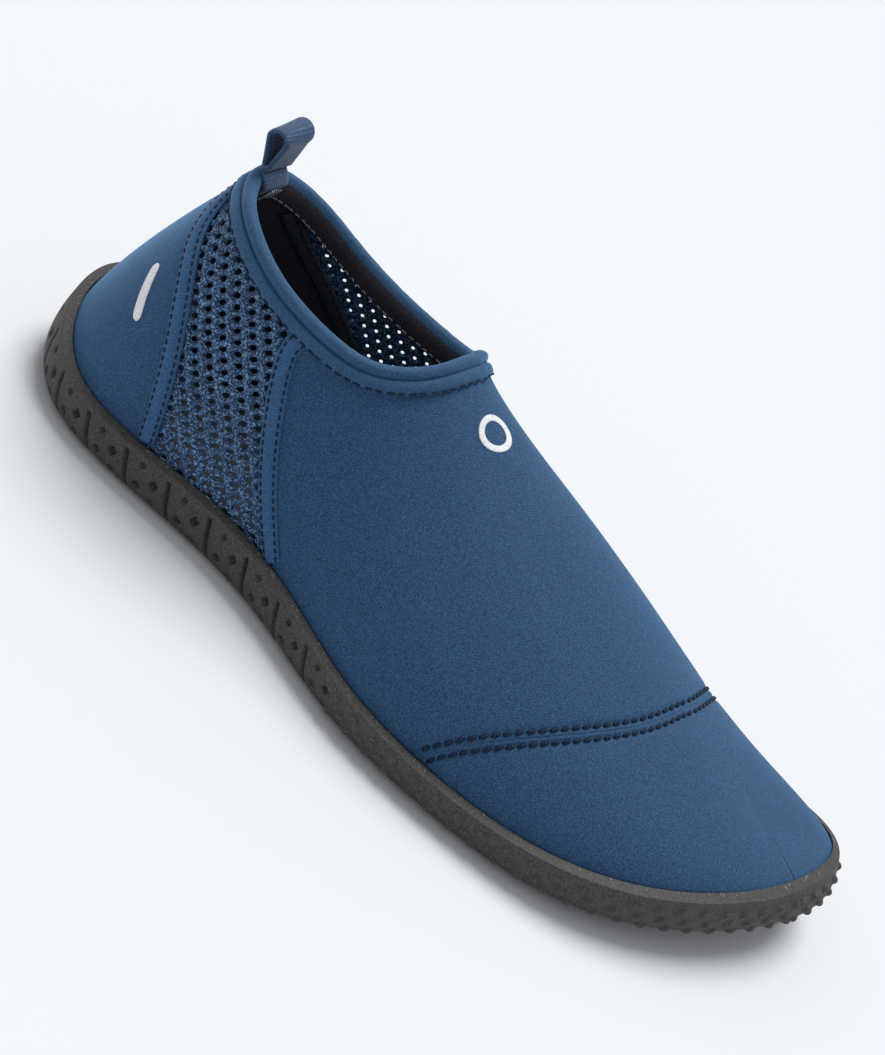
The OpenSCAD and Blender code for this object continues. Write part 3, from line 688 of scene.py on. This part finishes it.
def build_outsole():
    a = np.arange(SOLE_N) / SOLE_N
    wall, inside = sole_levels(a)
    v = shares(WALL_V)
    levels = np.stack(wall)
    grid = line_at(levels.reshape(len(wall), -1), v).reshape(WALL_V + 1, SOLE_N, 3).transpose(1, 0, 2)
    base = levels[2]
    run = run_along(base)
    whole = run[-1] + np.linalg.norm(base[0] - base[-1])
    s = np.minimum(run, whole - run)[:, None] + 0 * v[None]
    ds = np.roll(grid, -1, 0) - np.roll(grid, 1, 0)
    dv = np.gradient(grid, axis=1)
    normal = unit(np.cross(ds, dv))
    out = np.sign(dot(normal, outward(a)[:, None]).mean())
    h = (v - WALL_FOOT) / (WALL_HEAD - WALL_FOOT)
    relief = wall_relief(s, h[None] + 0 * s)
    relief *= 1 - smooth(v, *RELIEF_END)[None]
    grid = grid + normal * out * relief[..., None]
    grid[..., 2] = np.maximum(grid[..., 2], ground(grid[..., 0]))
    columns = np.concatenate([grid] + [p[:, None] for p in inside], 1)
    n, m = columns.shape[:2]
    under, share = across_foot(columns[:, 0], 44)
    swayed = under[..., 0] + TREAD_SWAY * np.sin(share * TREAD_TURN)
    wave = np.sin(swayed * 2 * math.pi / TREAD_PITCH)
    groove = smooth(wave, 0.55, 0.85) * smooth(share, 0.05, 0.10) * (1 - smooth(share, 0.90, 0.95))
    under = under + np.stack([0 * groove, 0 * groove, TREAD_DEPTH * groove], -1)
    bed, _ = across_foot(columns[:, -1], 6)
    faces = [grid_faces(n, m, 0, True), grid_faces(*under.shape[:2], n * m),
             grid_faces(*bed.shape[:2], n * m + under.size // 3)]
    points = np.concatenate([columns.reshape(-1, 3), under.reshape(-1, 3), bed.reshape(-1, 3)])
    rise = np.concatenate([np.tile(np.append(v, [1, 1]), n), np.zeros(under.size // 3),
                           np.ones(bed.size // 3)])
    obj = new_object("outsole_moulded", points, np.concatenate(faces), [rubber], rise=rise)
    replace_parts(obj, "outsole")


build_outsole()


# ---- under the foot ----
def bed_edge(inset, z, toe_room, n=480):
    a = np.arange(n) / n
    c, o = meridian(a)[0], outward(a)
    d = inset + toe_room * smooth(c[:, 0] / FOOT_L, 0.78, 0.98)
    return c - o * d[:, None] + [0, 0, z]


def build_sockliner():
    z0 = GAP + BOARD_T + GAP
    rings = [bed_edge(NEOPRENE_T + 1.2, z0, 8), bed_edge(NEOPRENE_T + 1.2, z0 + LINER_T * 0.7, 11),
             bed_edge(NEOPRENE_T + 1.9, z0 + LINER_T * 0.95, 15),
             bed_edge(NEOPRENE_T + 3.2, z0 + LINER_T, 18)]
    columns = np.stack(rings, 1)
    top, share = across_foot(columns[:, -1], 30)
    low, _ = across_foot(columns[:, 0], 6)
    swell = 0.9 * np.sin(math.pi * share) ** 2
    top = top - np.stack([0 * swell, 0 * swell, swell], -1) * smooth(top[..., :1], 0, 60)
    n, m = columns.shape[:2]
    points = np.concatenate([columns.reshape(-1, 3), low.reshape(-1, 3), top.reshape(-1, 3)])
    faces = [grid_faces(n, m, 0, True), grid_faces(*low.shape[:2], n * m),
             grid_faces(*top.shape[:2], n * m + low.size // 3)]
    obj = new_object("footbed_pad", points, np.concatenate(faces), [footbed], uv=points[:, :2])
    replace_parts(obj, "sockliner")


build_sockliner()

# ---- neoprene panels ----
toe_line = np.concatenate([raised(toe_places(side, 160), 0) for side in (0, 1)])


def stitched_toe(point):
    """The toe seam: a soft ridge between two drawn-in rows."""
    d = distance_to(point, toe_line)
    rows = np.exp(-((d - ROW_GAP / 2) / 0.75) ** 2)
    ridge = np.exp(-(d / 0.8) ** 2)
    valley = np.exp(-(d / 5.0) ** 2)
    return -0.55 * rows + 0.12 * ridge - 0.3 * valley


def heel_places_grid(n, m):
    outer = seam_places("rear", 0, m)
    inner = seam_places("rear", 1, m) - [1, 0]
    v = np.arange(n + 1)[:, None] / n
    q = mix(-REAR_Q[1], REAR_Q[0], v[:, 0])
    high = np.where(q[:, None] < 0, under_collar(1, np.maximum(-q, 0), PANEL_DROP) - [1, 0],
                    under_collar(0, np.maximum(q, 0), PANEL_DROP))
    return between(inner, outer, mix(inner[0], outer[0], v), high)


def vamp_places_grid(n, m):
    halves = []
    for side in (0, 1):
        seam = seam_places("front", side, m)
        q = mix(FRONT_Q[side], 1, np.arange(1, m + 1) / m)
        back = np.vstack([seam, under_collar(side, q, PANEL_DROP)])
        halves.append(mix(back[None], toe_places(side, 2 * m)[None], shares(n)[:, None, None]))
    return np.concatenate([halves[0], halves[1][:, -2::-1]], 1)


def toe_places_grid(n, m):
    v = shares(n)[:, None]
    halves = []
    for side in (0, 1):
        line = toe_places(side, m)
        u = mix(line[:, 0][None], 0.5, v)
        halves.append(np.stack([u, line[:, 1][None] + 0 * v], -1))
    return np.concatenate([halves[0], halves[1][:, -2::-1]], 1)


heel = skin("heel_neoprene", heel_places_grid(110, 64), 0.0, -NEOPRENE_T, [neoprene, lining])
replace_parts(heel, "heel_panel")
vamp = skin("vamp_neoprene", vamp_places_grid(120, 90), 0.0, -NEOPRENE_T, [neoprene, lining],
            relief=stitched_toe)
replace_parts(vamp, "vamp_panel")
toe = skin("toe_neoprene", toe_places_grid(90, 110), 0.0, -NEOPRENE_T, [neoprene, lining],
           relief=stitched_toe, merge=0.002)
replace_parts(toe, "toe_panel")

# ---- open air mesh ----
HOLE_ACROSS, HOLE_UP = 4.2, 3.1
HOLE_W, HOLE_H = 1.42, 1.02
BACK_HOLE = (0.72, 0.5)  # the holes' share on the inner face, outer and inner side of the foot
MESH_EDGE = 1.2  # below the opening's edge, so that no cell stands over the lip
MESH_TURN = math.radians(42)
RING_STEPS = 16


def mesh_borders(side, m=60):
    """Rear seam, front seam and upper border as places on one side."""
    rear, front = seam_places("rear", side, m), seam_places("front", side, m)
    q = mix(REAR_Q[side], FRONT_Q[side], shares(m))
    return rear, front, under_collar(side, q, PANEL_DROP)


def solve_places(target, axes, guess):
    """Places whose points have the wanted coordinates along two axes."""
    p = guess.copy()
    for _ in range(8):
        point, _, du, dt = place(p)
        err = target - point @ axes.T
        a, b = du @ axes.T, dt @ axes.T
        det = a[:, 0] * b[:, 1] - a[:, 1] * b[:, 0]
        p[:, 0] += np.clip((err[:, 0] * b[:, 1] - err[:, 1] * b[:, 0]) / det, -0.02, 0.02)
        p[:, 1] += np.clip((a[:, 0] * err[:, 1] - a[:, 1] * err[:, 0]) / det, -0.08, 0.08)
        p[:, 1] = np.clip(p[:, 1], 0, 0.9)
    return p


def cell_rings():
    """Border and hole outline of one cell, in turn steps that line up with its neighbours."""
    k = np.arange(RING_STEPS)
    side, f = k // 4, (k % 4) / 4 * 2 - 1
    x = np.select([side == 0, side == 1, side == 2], [f, 1 + 0 * f, -f], -1 + 0 * f)
    y = np.select([side == 0, side == 1, side == 2], [-1 + 0 * f, f, 1 + 0 * f], -f)
    border = np.stack([x * HOLE_ACROSS / 2, y * HOLE_UP / 2], -1)
    turn = np.arctan2(y, x)
    hole = np.stack([HOLE_W * np.cos(turn), HOLE_H * np.sin(turn)], -1)
    return border, hole


def build_mesh(side, name):
    c, s = math.cos(MESH_TURN), math.sin(MESH_TURN)
    axes = np.array([[c, 0, s], [-s, 0, c]])
    rear, front, top = mesh_borders(side)
    v = shares(60)[:, None]
    coarse = between(rear, front, mix(rear[0], front[0], v), top).reshape(-1, 2)
    flat = place(coarse)[0] @ axes.T
    low, high = flat.min(0) - 4, flat.max(0) + 4
    centres = []
    for i in range(int(low[0] / HOLE_ACROSS), int(high[0] / HOLE_ACROSS) + 1):
        for j in range(int(low[1] / HOLE_UP) - 1, int(high[1] / HOLE_UP) + 2):
            centres.append([i * HOLE_ACROSS, (j + 0.5 * (i % 2)) * HOLE_UP])
    centres = np.array(centres)
    near = ((centres[:, None] - flat[None]) ** 2).sum(-1)
    centres = centres[near.min(1) < 1.8 ** 2]
    border, hole = cell_rings()
    mid = mix(hole, border, 0.5)
    rings = [(border, 0.0), (mid, -0.12), (hole, -0.5), (hole * BACK_HOLE[side], -MESH_T + 0.5),
             (hole * BACK_HOLE[side], -MESH_T + 0.25), (mid, -MESH_T + 0.05),
             (border, -MESH_T)]
    outline = np.concatenate([r for r, _ in rings])
    heights = np.repeat([z for _, z in rings], RING_STEPS)
    target = (centres[:, None] + outline[None]).reshape(-1, 2)
    guess = coarse[((target[::RING_STEPS, None] - flat[None]) ** 2).sum(-1).argmin(1)]
    guess = np.repeat(guess, RING_STEPS, 0)
    places = solve_places(target, axes, guess)
    edge = under_collar(side, np.linspace(0, 1, 240), MESH_EDGE)
    edge = edge[np.argsort(edge[:, 0])]
    places[:, 1] = np.minimum(places[:, 1], np.interp(places[:, 0], edge[:, 0], edge[:, 1]))
    point, normal, _, _ = place(places)
    height = np.tile(heights, len(centres)) - MESH_SINK
    points = point + normal * height[:, None]
    k = np.arange(RING_STEPS)
    turn = (k + 1) % RING_STEPS
    starts = [r * RING_STEPS for r in range(len(rings) - 1)]
    faces = np.concatenate([np.stack([r + k, r + turn, r + RING_STEPS + turn, r + RING_STEPS + k], 1)
                            for r in starts])
    count = len(outline)
    whole = (faces[None] + count * np.arange(len(centres))[:, None, None]).reshape(-1, 4)
    obj = new_object(name, points, whole, [air_mesh], uv=target, merge=0.02)
    return obj


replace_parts(build_mesh(0, "air_mesh_lateral"), "mesh_lateral")
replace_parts(build_mesh(1, "air_mesh_medial"), "mesh_medial")


# ---- tapes, seams and stitches ----
def beside_line(line, dist):
    point, normal, _, _ = place(line)
    ahead = unit(np.gradient(point, axis=0))
    return slid(line, np.cross(ahead, normal), dist)


def tape_line(seam, side, n=120):
    line = seam_places(seam, side, n, BAND_END - 1.5)
    return line[line[:, 1] > rim_up(line[:, 0]) + 0.006]


def even(line, pitch):
    """Places at even distances along a line of places, and the line's direction there."""
    pts = place(line)[0]
    run = run_along(pts)
    count = max(1, round(run[-1] / pitch))
    at = (np.arange(count) + 0.5) * run[-1] / count
    spots = np.stack([np.interp(at, run, line[:, 0]), np.interp(at, run, line[:, 1])], -1)
    ahead = unit(np.gradient(pts, axis=0))
    return spots, unit(np.stack([np.interp(at, run, ahead[:, k]) for k in range(3)], -1))


def strip(name, line, offsets, heights, materials):
    """Swept strip of a rounded cross-section over a line of places."""
    grid = np.stack([raised(beside_line(line, off), up) for off, up in zip(offsets, heights)], 1)
    return sweep(name, grid, materials, closed=False, uv=crossed(run_along(grid[:, 0]), np.array(offsets)))


STATIONS, SPOKES = 9, 8  # along and round one stitch


def stitch_mesh(name, spots, ahead, length, width, height, lift, material, slant=0.0):
    """Row of thread stitches: small domed bars whose ends dive into the cloth."""
    point, normal, _, _ = place(spots)
    g = unit(ahead - normal * dot(ahead, normal))
    w = np.cross(normal, g)
    g, w = g * math.cos(slant) + w * math.sin(slant), w * math.cos(slant) - g * math.sin(slant)
    xs = np.linspace(-1, 1, STATIONS)
    turns = np.arange(SPOKES) / SPOKES * 2 * math.pi
    body_r = np.sqrt(np.clip(1 - xs ** 4, 0.02, None))
    x = np.repeat(xs, SPOKES) * length / 2
    y = np.outer(body_r, np.cos(turns)).ravel() * width / 2
    arch = (1 - xs ** 2) * height * 0.55 - height * 0.35
    z = (np.outer(body_r, np.sin(turns)) * height / 2 + arch[:, None]).ravel() + lift
    grid = (point[:, None] + g[:, None] * x[None, :, None] + w[:, None] * y[None, :, None]
            + normal[:, None] * z[None, :, None])
    quads, count = grid_faces(STATIONS, SPOKES, 0, False, True), STATIONS * SPOKES
    faces = (quads[None] + count * np.arange(len(spots))[:, None, None]).reshape(-1, 4).tolist()
    for k in range(len(spots)):
        faces.append([count * k + i for i in range(SPOKES)])
        faces.append([count * (k + 1) - 1 - i for i in range(SPOKES)])
    return new_object(name, grid, faces, [material])


TAPE_HALF, TAPE_STITCH = TAPE_W / 2, 2.3
TAPE_OFF = [-TAPE_HALF, -TAPE_HALF + 0.3, -TAPE_HALF + 0.9, -TAPE_HALF + 1.5, -0.8, 0.8, TAPE_HALF - 1.5,
            TAPE_HALF - 0.9, TAPE_HALF - 0.3, TAPE_HALF, TAPE_HALF, 0, -TAPE_HALF]
TAPE_UP = [0.1, 0.75, 0.68, 0.98, 1.15, 1.15, 0.98, 0.68, 0.75, 0.1, -0.3, -0.3, -0.3]
INNER_OFF = [-3, -2, 0, 2, 3, 3, 0, -3]
INNER_UP = [LIP_INSIDE - h for h in (0.2, 0.7, 0.8, 0.7, 0.2, -0.2, -0.2, -0.2)]
spots_all, ahead_all = [], []
for seam in ("rear", "front"):
    for side, where in ((0, "lateral"), (1, "medial")):
        line = tape_line(seam, side)
        node = f"tape_{seam}_{where}"
        obj = strip(f"seam_{node}", line, TAPE_OFF, TAPE_UP, [seam_tape])
        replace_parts(obj, node)
        for s in (-1, 1):
            spots, ahead = even(beside_line(line, s * (TAPE_HALF - 0.9)), TAPE_STITCH)
            spots_all.append(spots)
            ahead_all.append(ahead)
        inside_line = seam_places(seam, side, 100, LIP_DEPTH)[4:-3]
        inner = strip(f"inner_{node}", inside_line, INNER_OFF, INNER_UP, [lining])
        for s in (-1, 1):
            spots, ahead = even(beside_line(inside_line, s * 2.0), 2.6)
            row = stitch_mesh(f"inner_{node}_thread_{s + 1}", spots, ahead, 1.9, 0.75, 0.5,
                              LIP_INSIDE - 0.8, navy_thread)
rows = stitch_mesh("tape_stitch_rows", np.concatenate(spots_all), np.concatenate(ahead_all),
                   1.7, 0.6, 0.5, 0.78, navy_thread)
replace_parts(rows, "tape_stitches")


def toe_row(name, node, dist):
    spots_list, ahead_list = [], []
    for side in (0, 1):
        line = toe_places(side, 200)
        line = line[line[:, 1] > rim_up(line[:, 0]) + 0.02]
        row = beside_line(line, dist if side == 0 else -dist)
        spots, ahead = even(row[row[:, 1] < 0.9995], STITCH_L + 0.15)
        spots_list.append(spots)
        ahead_list.append(ahead)
    obj = stitch_mesh(name, np.concatenate(spots_list), np.concatenate(ahead_list), STITCH_L * 0.92,
                      THREAD_D, 0.9, -0.45, navy_thread, slant=0.2)
    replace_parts(obj, node)


toe_row("toe_stitch_rear", "toe_seam_rear", -ROW_GAP / 2)
toe_row("toe_stitch_front", "toe_seam_front", ROW_GAP / 2)


# ---- collar ----
def collar_sweep(name, outline, materials, ripple=0.0, face_slot=None):
    outline = np.array(outline, float)
    rings = np.stack([raised(below_ring(a), h) for a, h in outline], 1)
    run = run_along(ring_frames[0])
    if ripple:
        pucker = noise_wave(run, (7.3, 4.1, 2.9), (0.5, 0.3, 0.2)) * ripple
        height = smooth(outline[:, 1], -0.5, 0.8)
        rings = rings + ring_frames[1][:, None] * pucker[:, None, None] * height[None, :, None]
    return sweep(name, rings, materials, True, face_slot, crossed(run, run_along(outline)))


def arc_outline(points, n):
    """Rounded closed outline through the neighbourhood of a few points."""
    return ring_at(np.array(points, float), np.arange(n) / n)


LIP_END = 2.4
band = collar_sweep("collar_binding", arc_outline(
    [[LIP_END - 0.6, -0.1], [LIP_END + 0.1, 0.4], [LIP_END + 0.6, 1.3], [LIP_END + 1.5, 1.6],
     [BAND_END - 1.4, 1.55], [BAND_END - 0.5, 1.2], [BAND_END + 0.2, 0.4], [BAND_END, -0.2],
     [LIP_END + 1.5, -0.2]], 36), [binding], ripple=0.10)
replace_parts(band, "collar_band")
lip = collar_sweep("collar_rolled_lip", arc_outline(
    [[3.4, LIP_INSIDE + 0.4], [LIP_DEPTH, LIP_INSIDE + 0.2], [LIP_DEPTH + 0.4, LIP_INSIDE - LIP_T],
     [LIP_DEPTH - 1.4, LIP_INSIDE - LIP_T - 0.4], [2.0, LIP_INSIDE - LIP_T - 0.2], [0.2, -NEOPRENE_T - 0.5],
     [-1.0, -NEOPRENE_T + 0.9], [-1.3, -0.7], [-0.8, 0.9], [0.2, 1.7], [1.3, 1.6], [LIP_END + 0.1, 0.7],
     [LIP_END, -0.2], [1.6, -1.0]], 52), [binding, lining], ripple=0.07,
    face_slot=[1 if 3 <= k <= 18 else 0 for k in range(52)])
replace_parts(lip, "collar_lip")


def ring_stitches(name, a, pitch, length, lift, material, node=None):
    """Row of stitches a mm below the opening's edge, all the way round."""
    spots = below_ring(a)
    spots = np.vstack([spots, spots[:1]])
    point = place(spots)[0]
    ahead = unit(np.roll(point[:-1], -1, 0) - np.roll(point[:-1], 1, 0))
    run = run_along(point)
    at = (np.arange(int(run[-1] / pitch)) + 0.5) * pitch
    index = np.searchsorted(run, at) % RING_N
    obj = stitch_mesh(name, spots[index], ahead[index], length, 0.6, 0.5, lift, material)
    if node:
        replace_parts(obj, node)


ring_stitches("collar_stitch_row", BAND_END - 0.2, 3.0, 2.4, 1.0, navy_thread, "collar_stitches")
ring_stitches("collar_inner_stitch_row", LIP_DEPTH - 1.2, 2.8, 2.0, LIP_INSIDE - LIP_T - 0.62,
              grey_thread)

# ---- pull loop ----
def heel_place(across, down):
    """Place on the heel, mm across from the loop's middle and mm below the opening's edge."""
    spot = slid(np.array([0, COLLAR[0][0][1]]), np.array([0.0, -1, 0]), LOOP_SHIFT + across)
    return slid(spot, ring_down[0], down)


LOOP_AXIS = raised(heel_place(0, -0.8), -1.2) + [0, 0, LOOP_T + 0.8]
LOOP_LEAN, LOOP_TWIST = math.radians(-6), math.radians(13)
EYE_NOW, RISE_NOW, WEB_W = 4.0, 12.6, 13.0  # the sewn webbing is a little smaller than its solid


def webbing_strip(name, path, sideways, body):
    """Ribbed webbing swept along a path; its ribs run across it."""
    ahead = unit(np.gradient(path, axis=0))
    sideways = np.broadcast_to(sideways, path.shape)
    sideways = unit(sideways - ahead * dot(ahead, sideways))
    out = unit(np.cross(ahead, sideways))
    y = np.linspace(-1, 1, 31)
    edge = np.sqrt(np.clip(1 - y ** 10, 0.0, 1))
    top = LOOP_T / 2 * 0.92 * edge
    across = np.concatenate([y, y[::-1]]) * WEB_W / 2
    thick = np.concatenate([top, -top[::-1]])
    rings = path[:, None] + sideways[:, None] * across[None, :, None] + out[:, None] * thick[None, :, None]
    obj = sweep(name, rings, [webbing], closed=False, uv=crossed(run_along(path), across), body=body)
    return obj


def loop_path():
    """Round the eye: up the outer leg, over the top and down the inner leg."""
    r0, r1 = LOOP_T / 2, (EYE_NOW + LOOP_T) / 2
    high = RISE_NOW - r1 - LOOP_T / 2
    b = math.asin((r1 - r0) / high)
    left, right = np.array([-math.cos(b), -math.sin(b)]), np.array([math.cos(b), -math.sin(b)])
    f = np.linspace(0, 1, 22)[:, None]
    up = mix(left * r0, left * r1 + [0, high], f)
    turn = np.linspace(math.pi + b, -b, 40)[1:-1]
    over = np.stack([np.cos(turn) * r1, np.sin(turn) * r1 + high], -1)
    down = mix(right * r1 + [0, high], right * r0, f)
    flat = np.concatenate([up, over, down])
    c, s = math.cos(LOOP_LEAN), math.sin(LOOP_LEAN)
    x, z = flat[:, 0], flat[:, 1]
    return np.stack([x * c + z * s, 0 * x, -x * s + z * c], -1) + LOOP_AXIS


way = loop_path()
twist = LOOP_TWIST * smooth(way[:, 2] - LOOP_AXIS[2], 0, 9)
width_way = np.stack([0 * twist, np.cos(twist), np.sin(twist)], -1)
loop = webbing_strip("webbing_loop", way, width_way, "pull_loop")
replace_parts(loop, "pull_loop")


def anchor_path():
    """Up the inside of the heel. It ends below the loop, clear of it as it swings forward."""
    depth = LIP_INSIDE - LIP_T - 1.1
    inside = [raised(heel_place(0, d), depth) for d in np.linspace(LIP_DEPTH + 3, 0.5, 14)]
    inside.append(raised(heel_place(0, -0.6), -NEOPRENE_T - 0.4))
    inside.append(LOOP_AXIS - [0, 0, LOOP_T + 0.4])
    return line_at(np.array(inside), np.linspace(0, 1, 40))


anchor = webbing_strip("webbing_tail", anchor_path(), np.array([0.0, 1.0, 0.0]), "shoe")
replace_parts(anchor, "loop_anchor")


def build_bartack():
    """Close zigzag of thread that holds the webbing down, in five rows."""
    depth = LIP_INSIDE - LIP_T - LOOP_T - 0.55
    spots, ahead = [], []
    for down in (1.6, 2.6, 3.6, 4.6, 5.6):
        for k in range(13):
            p = heel_place((k / 12 - 0.5) * WEB_W * 0.84, down + 0.25 * (k % 2))
            spots.append(p)
            ahead.append(ring_down[0] + np.array([0, 0.7 if k % 2 else -0.7, 0]))
    obj = stitch_mesh("loop_bartack_thread", np.array(spots), unit(np.array(ahead)), 1.25, 0.55, 0.45,
                      depth, grey_thread)
    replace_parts(obj, "loop_bartack")


build_bartack()


# ---- plain marks ----
PRINT = (0.22, 0.02)  # top and underside of the print over the cloth


def build_marks():
    f = place(np.array(HEEL_SPOT))
    along = unit(f[2] * HEEL_RUN[0] + f[3] * HEEL_RUN[1])
    s = np.linspace(-1, 1, 41)
    half = HEEL_BAR_W / 2 * np.sqrt(np.clip(1 - s ** 8, 0.02, None))
    spine = [slid(np.array(HEEL_SPOT), along, k * HEEL_BAR_L / 2) for k in s]
    side = np.cross(f[1], along)
    rows = [[slid(p, side, j * h) for j in np.linspace(-1, 1, 7)] for p, h in zip(spine, half)]
    bar = skin("heel_bar_print", np.array(rows), *PRINT, [white_print])
    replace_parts(bar, "heel_mark")
    spot = place(np.array(VAMP_SPOT))
    a, b = unit(spot[2]), np.cross(spot[1], unit(spot[2]))
    rows = []
    for turn in np.linspace(0, 2 * math.pi, 97)[:-1]:
        d = a * math.cos(turn) + b * math.sin(turn)
        rows.append([slid(np.array(VAMP_SPOT), d, VAMP_RING_D / 2 - VAMP_RING_W * k / 4) for k in range(5)])
    ring = skin("vamp_ring_print", np.array(rows), *PRINT, [white_print], wrap_n=True)
    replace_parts(ring, "vamp_mark")


build_marks()

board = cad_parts["strobel_board"]
board.data.materials.clear()
board.data.materials.append(fibre_board)

# ---- floor, light and camera ----
SKY, SKY_LIGHT, BACKDROP = (0.95, 0.97, 1.0, 1), 0.46, (0.896, 0.922, 0.965, 1)
FLOOR = (0.785, 0.80, 0.825, 1)
AZIMUTH, ELEVATION, ROLL, DISTANCE = 9.78, 31.18, 37.92, 1.04089
LOOK_AT = (Vector((48.56, 454.66, -244.0)) - Vector(CENTRE)) * MM
LENS = 60.56


def build_camera():
    az, el, roll = (math.radians(v) for v in (AZIMUTH, ELEVATION, ROLL))
    back = Vector((math.sin(az) * math.cos(el), -math.cos(az) * math.cos(el), math.sin(el)))
    right = (-back).cross(Vector((0, 0, 1))).normalized()
    up = right.cross(-back)
    across = right * math.cos(roll) + up * math.sin(roll)
    above = up * math.cos(roll) - right * math.sin(roll)
    lens = bpy.data.cameras.new("camera")
    lens.lens, lens.sensor_width, lens.sensor_height, lens.sensor_fit = LENS, 36, 36, "VERTICAL"
    lens.clip_end = 100
    camera = bpy.data.objects.new("camera", lens)
    turn = Matrix((across, above, back)).transposed().to_4x4()
    camera.matrix_world = Matrix.Translation(LOOK_AT + back * DISTANCE) @ turn
    bpy.context.collection.objects.link(camera)
    bpy.context.scene.camera = camera
    return across, above, back


def build_floor():
    look = Look("pale_floor", 0.9, Specular_IOR_Level=0.1)
    look.shader.inputs["Base Color"].default_value = FLOOR
    bpy.ops.mesh.primitive_plane_add(size=24, location=(0, 0, -0.0002))
    floor = bpy.context.object
    floor.name = "floor"
    floor.data.materials.append(look.material)


def build_light(across, above, back):
    world = bpy.data.worlds.new("studio")
    bpy.context.scene.world = world
    world.use_nodes = True
    nodes, links = world.node_tree.nodes, world.node_tree.links
    soft = nodes["Background"]
    soft.inputs["Color"].default_value = SKY
    soft.inputs["Strength"].default_value = SKY_LIGHT
    seen = nodes.new("ShaderNodeBackground")
    seen.inputs["Color"].default_value = BACKDROP
    path, choice = nodes.new("ShaderNodeLightPath"), nodes.new("ShaderNodeMixShader")
    links.new(path.outputs["Is Camera Ray"], choice.inputs[0])
    links.new(soft.outputs[0], choice.inputs[1])
    links.new(seen.outputs[0], choice.inputs[2])
    links.new(choice.outputs[0], nodes["World Output"].inputs["Surface"])
    for name, toward, strength, angle in (
        ("key", above * 0.9 + across * 0.75 + back * 0.15, 2.45, 36),
        ("rim", above * 0.5 - across * 0.8 + back * 0.1, 0.3, 60),
    ):
        data = bpy.data.lights.new(name, "SUN")
        data.energy, data.angle = strength, math.radians(angle)
        lamp = bpy.data.objects.new(name, data)
        lamp.rotation_euler = toward.to_track_quat("Z", "Y").to_euler()
        bpy.context.collection.objects.link(lamp)


build_light(*build_camera())
build_floor()
bpy.context.scene.view_settings.view_transform = "Standard"
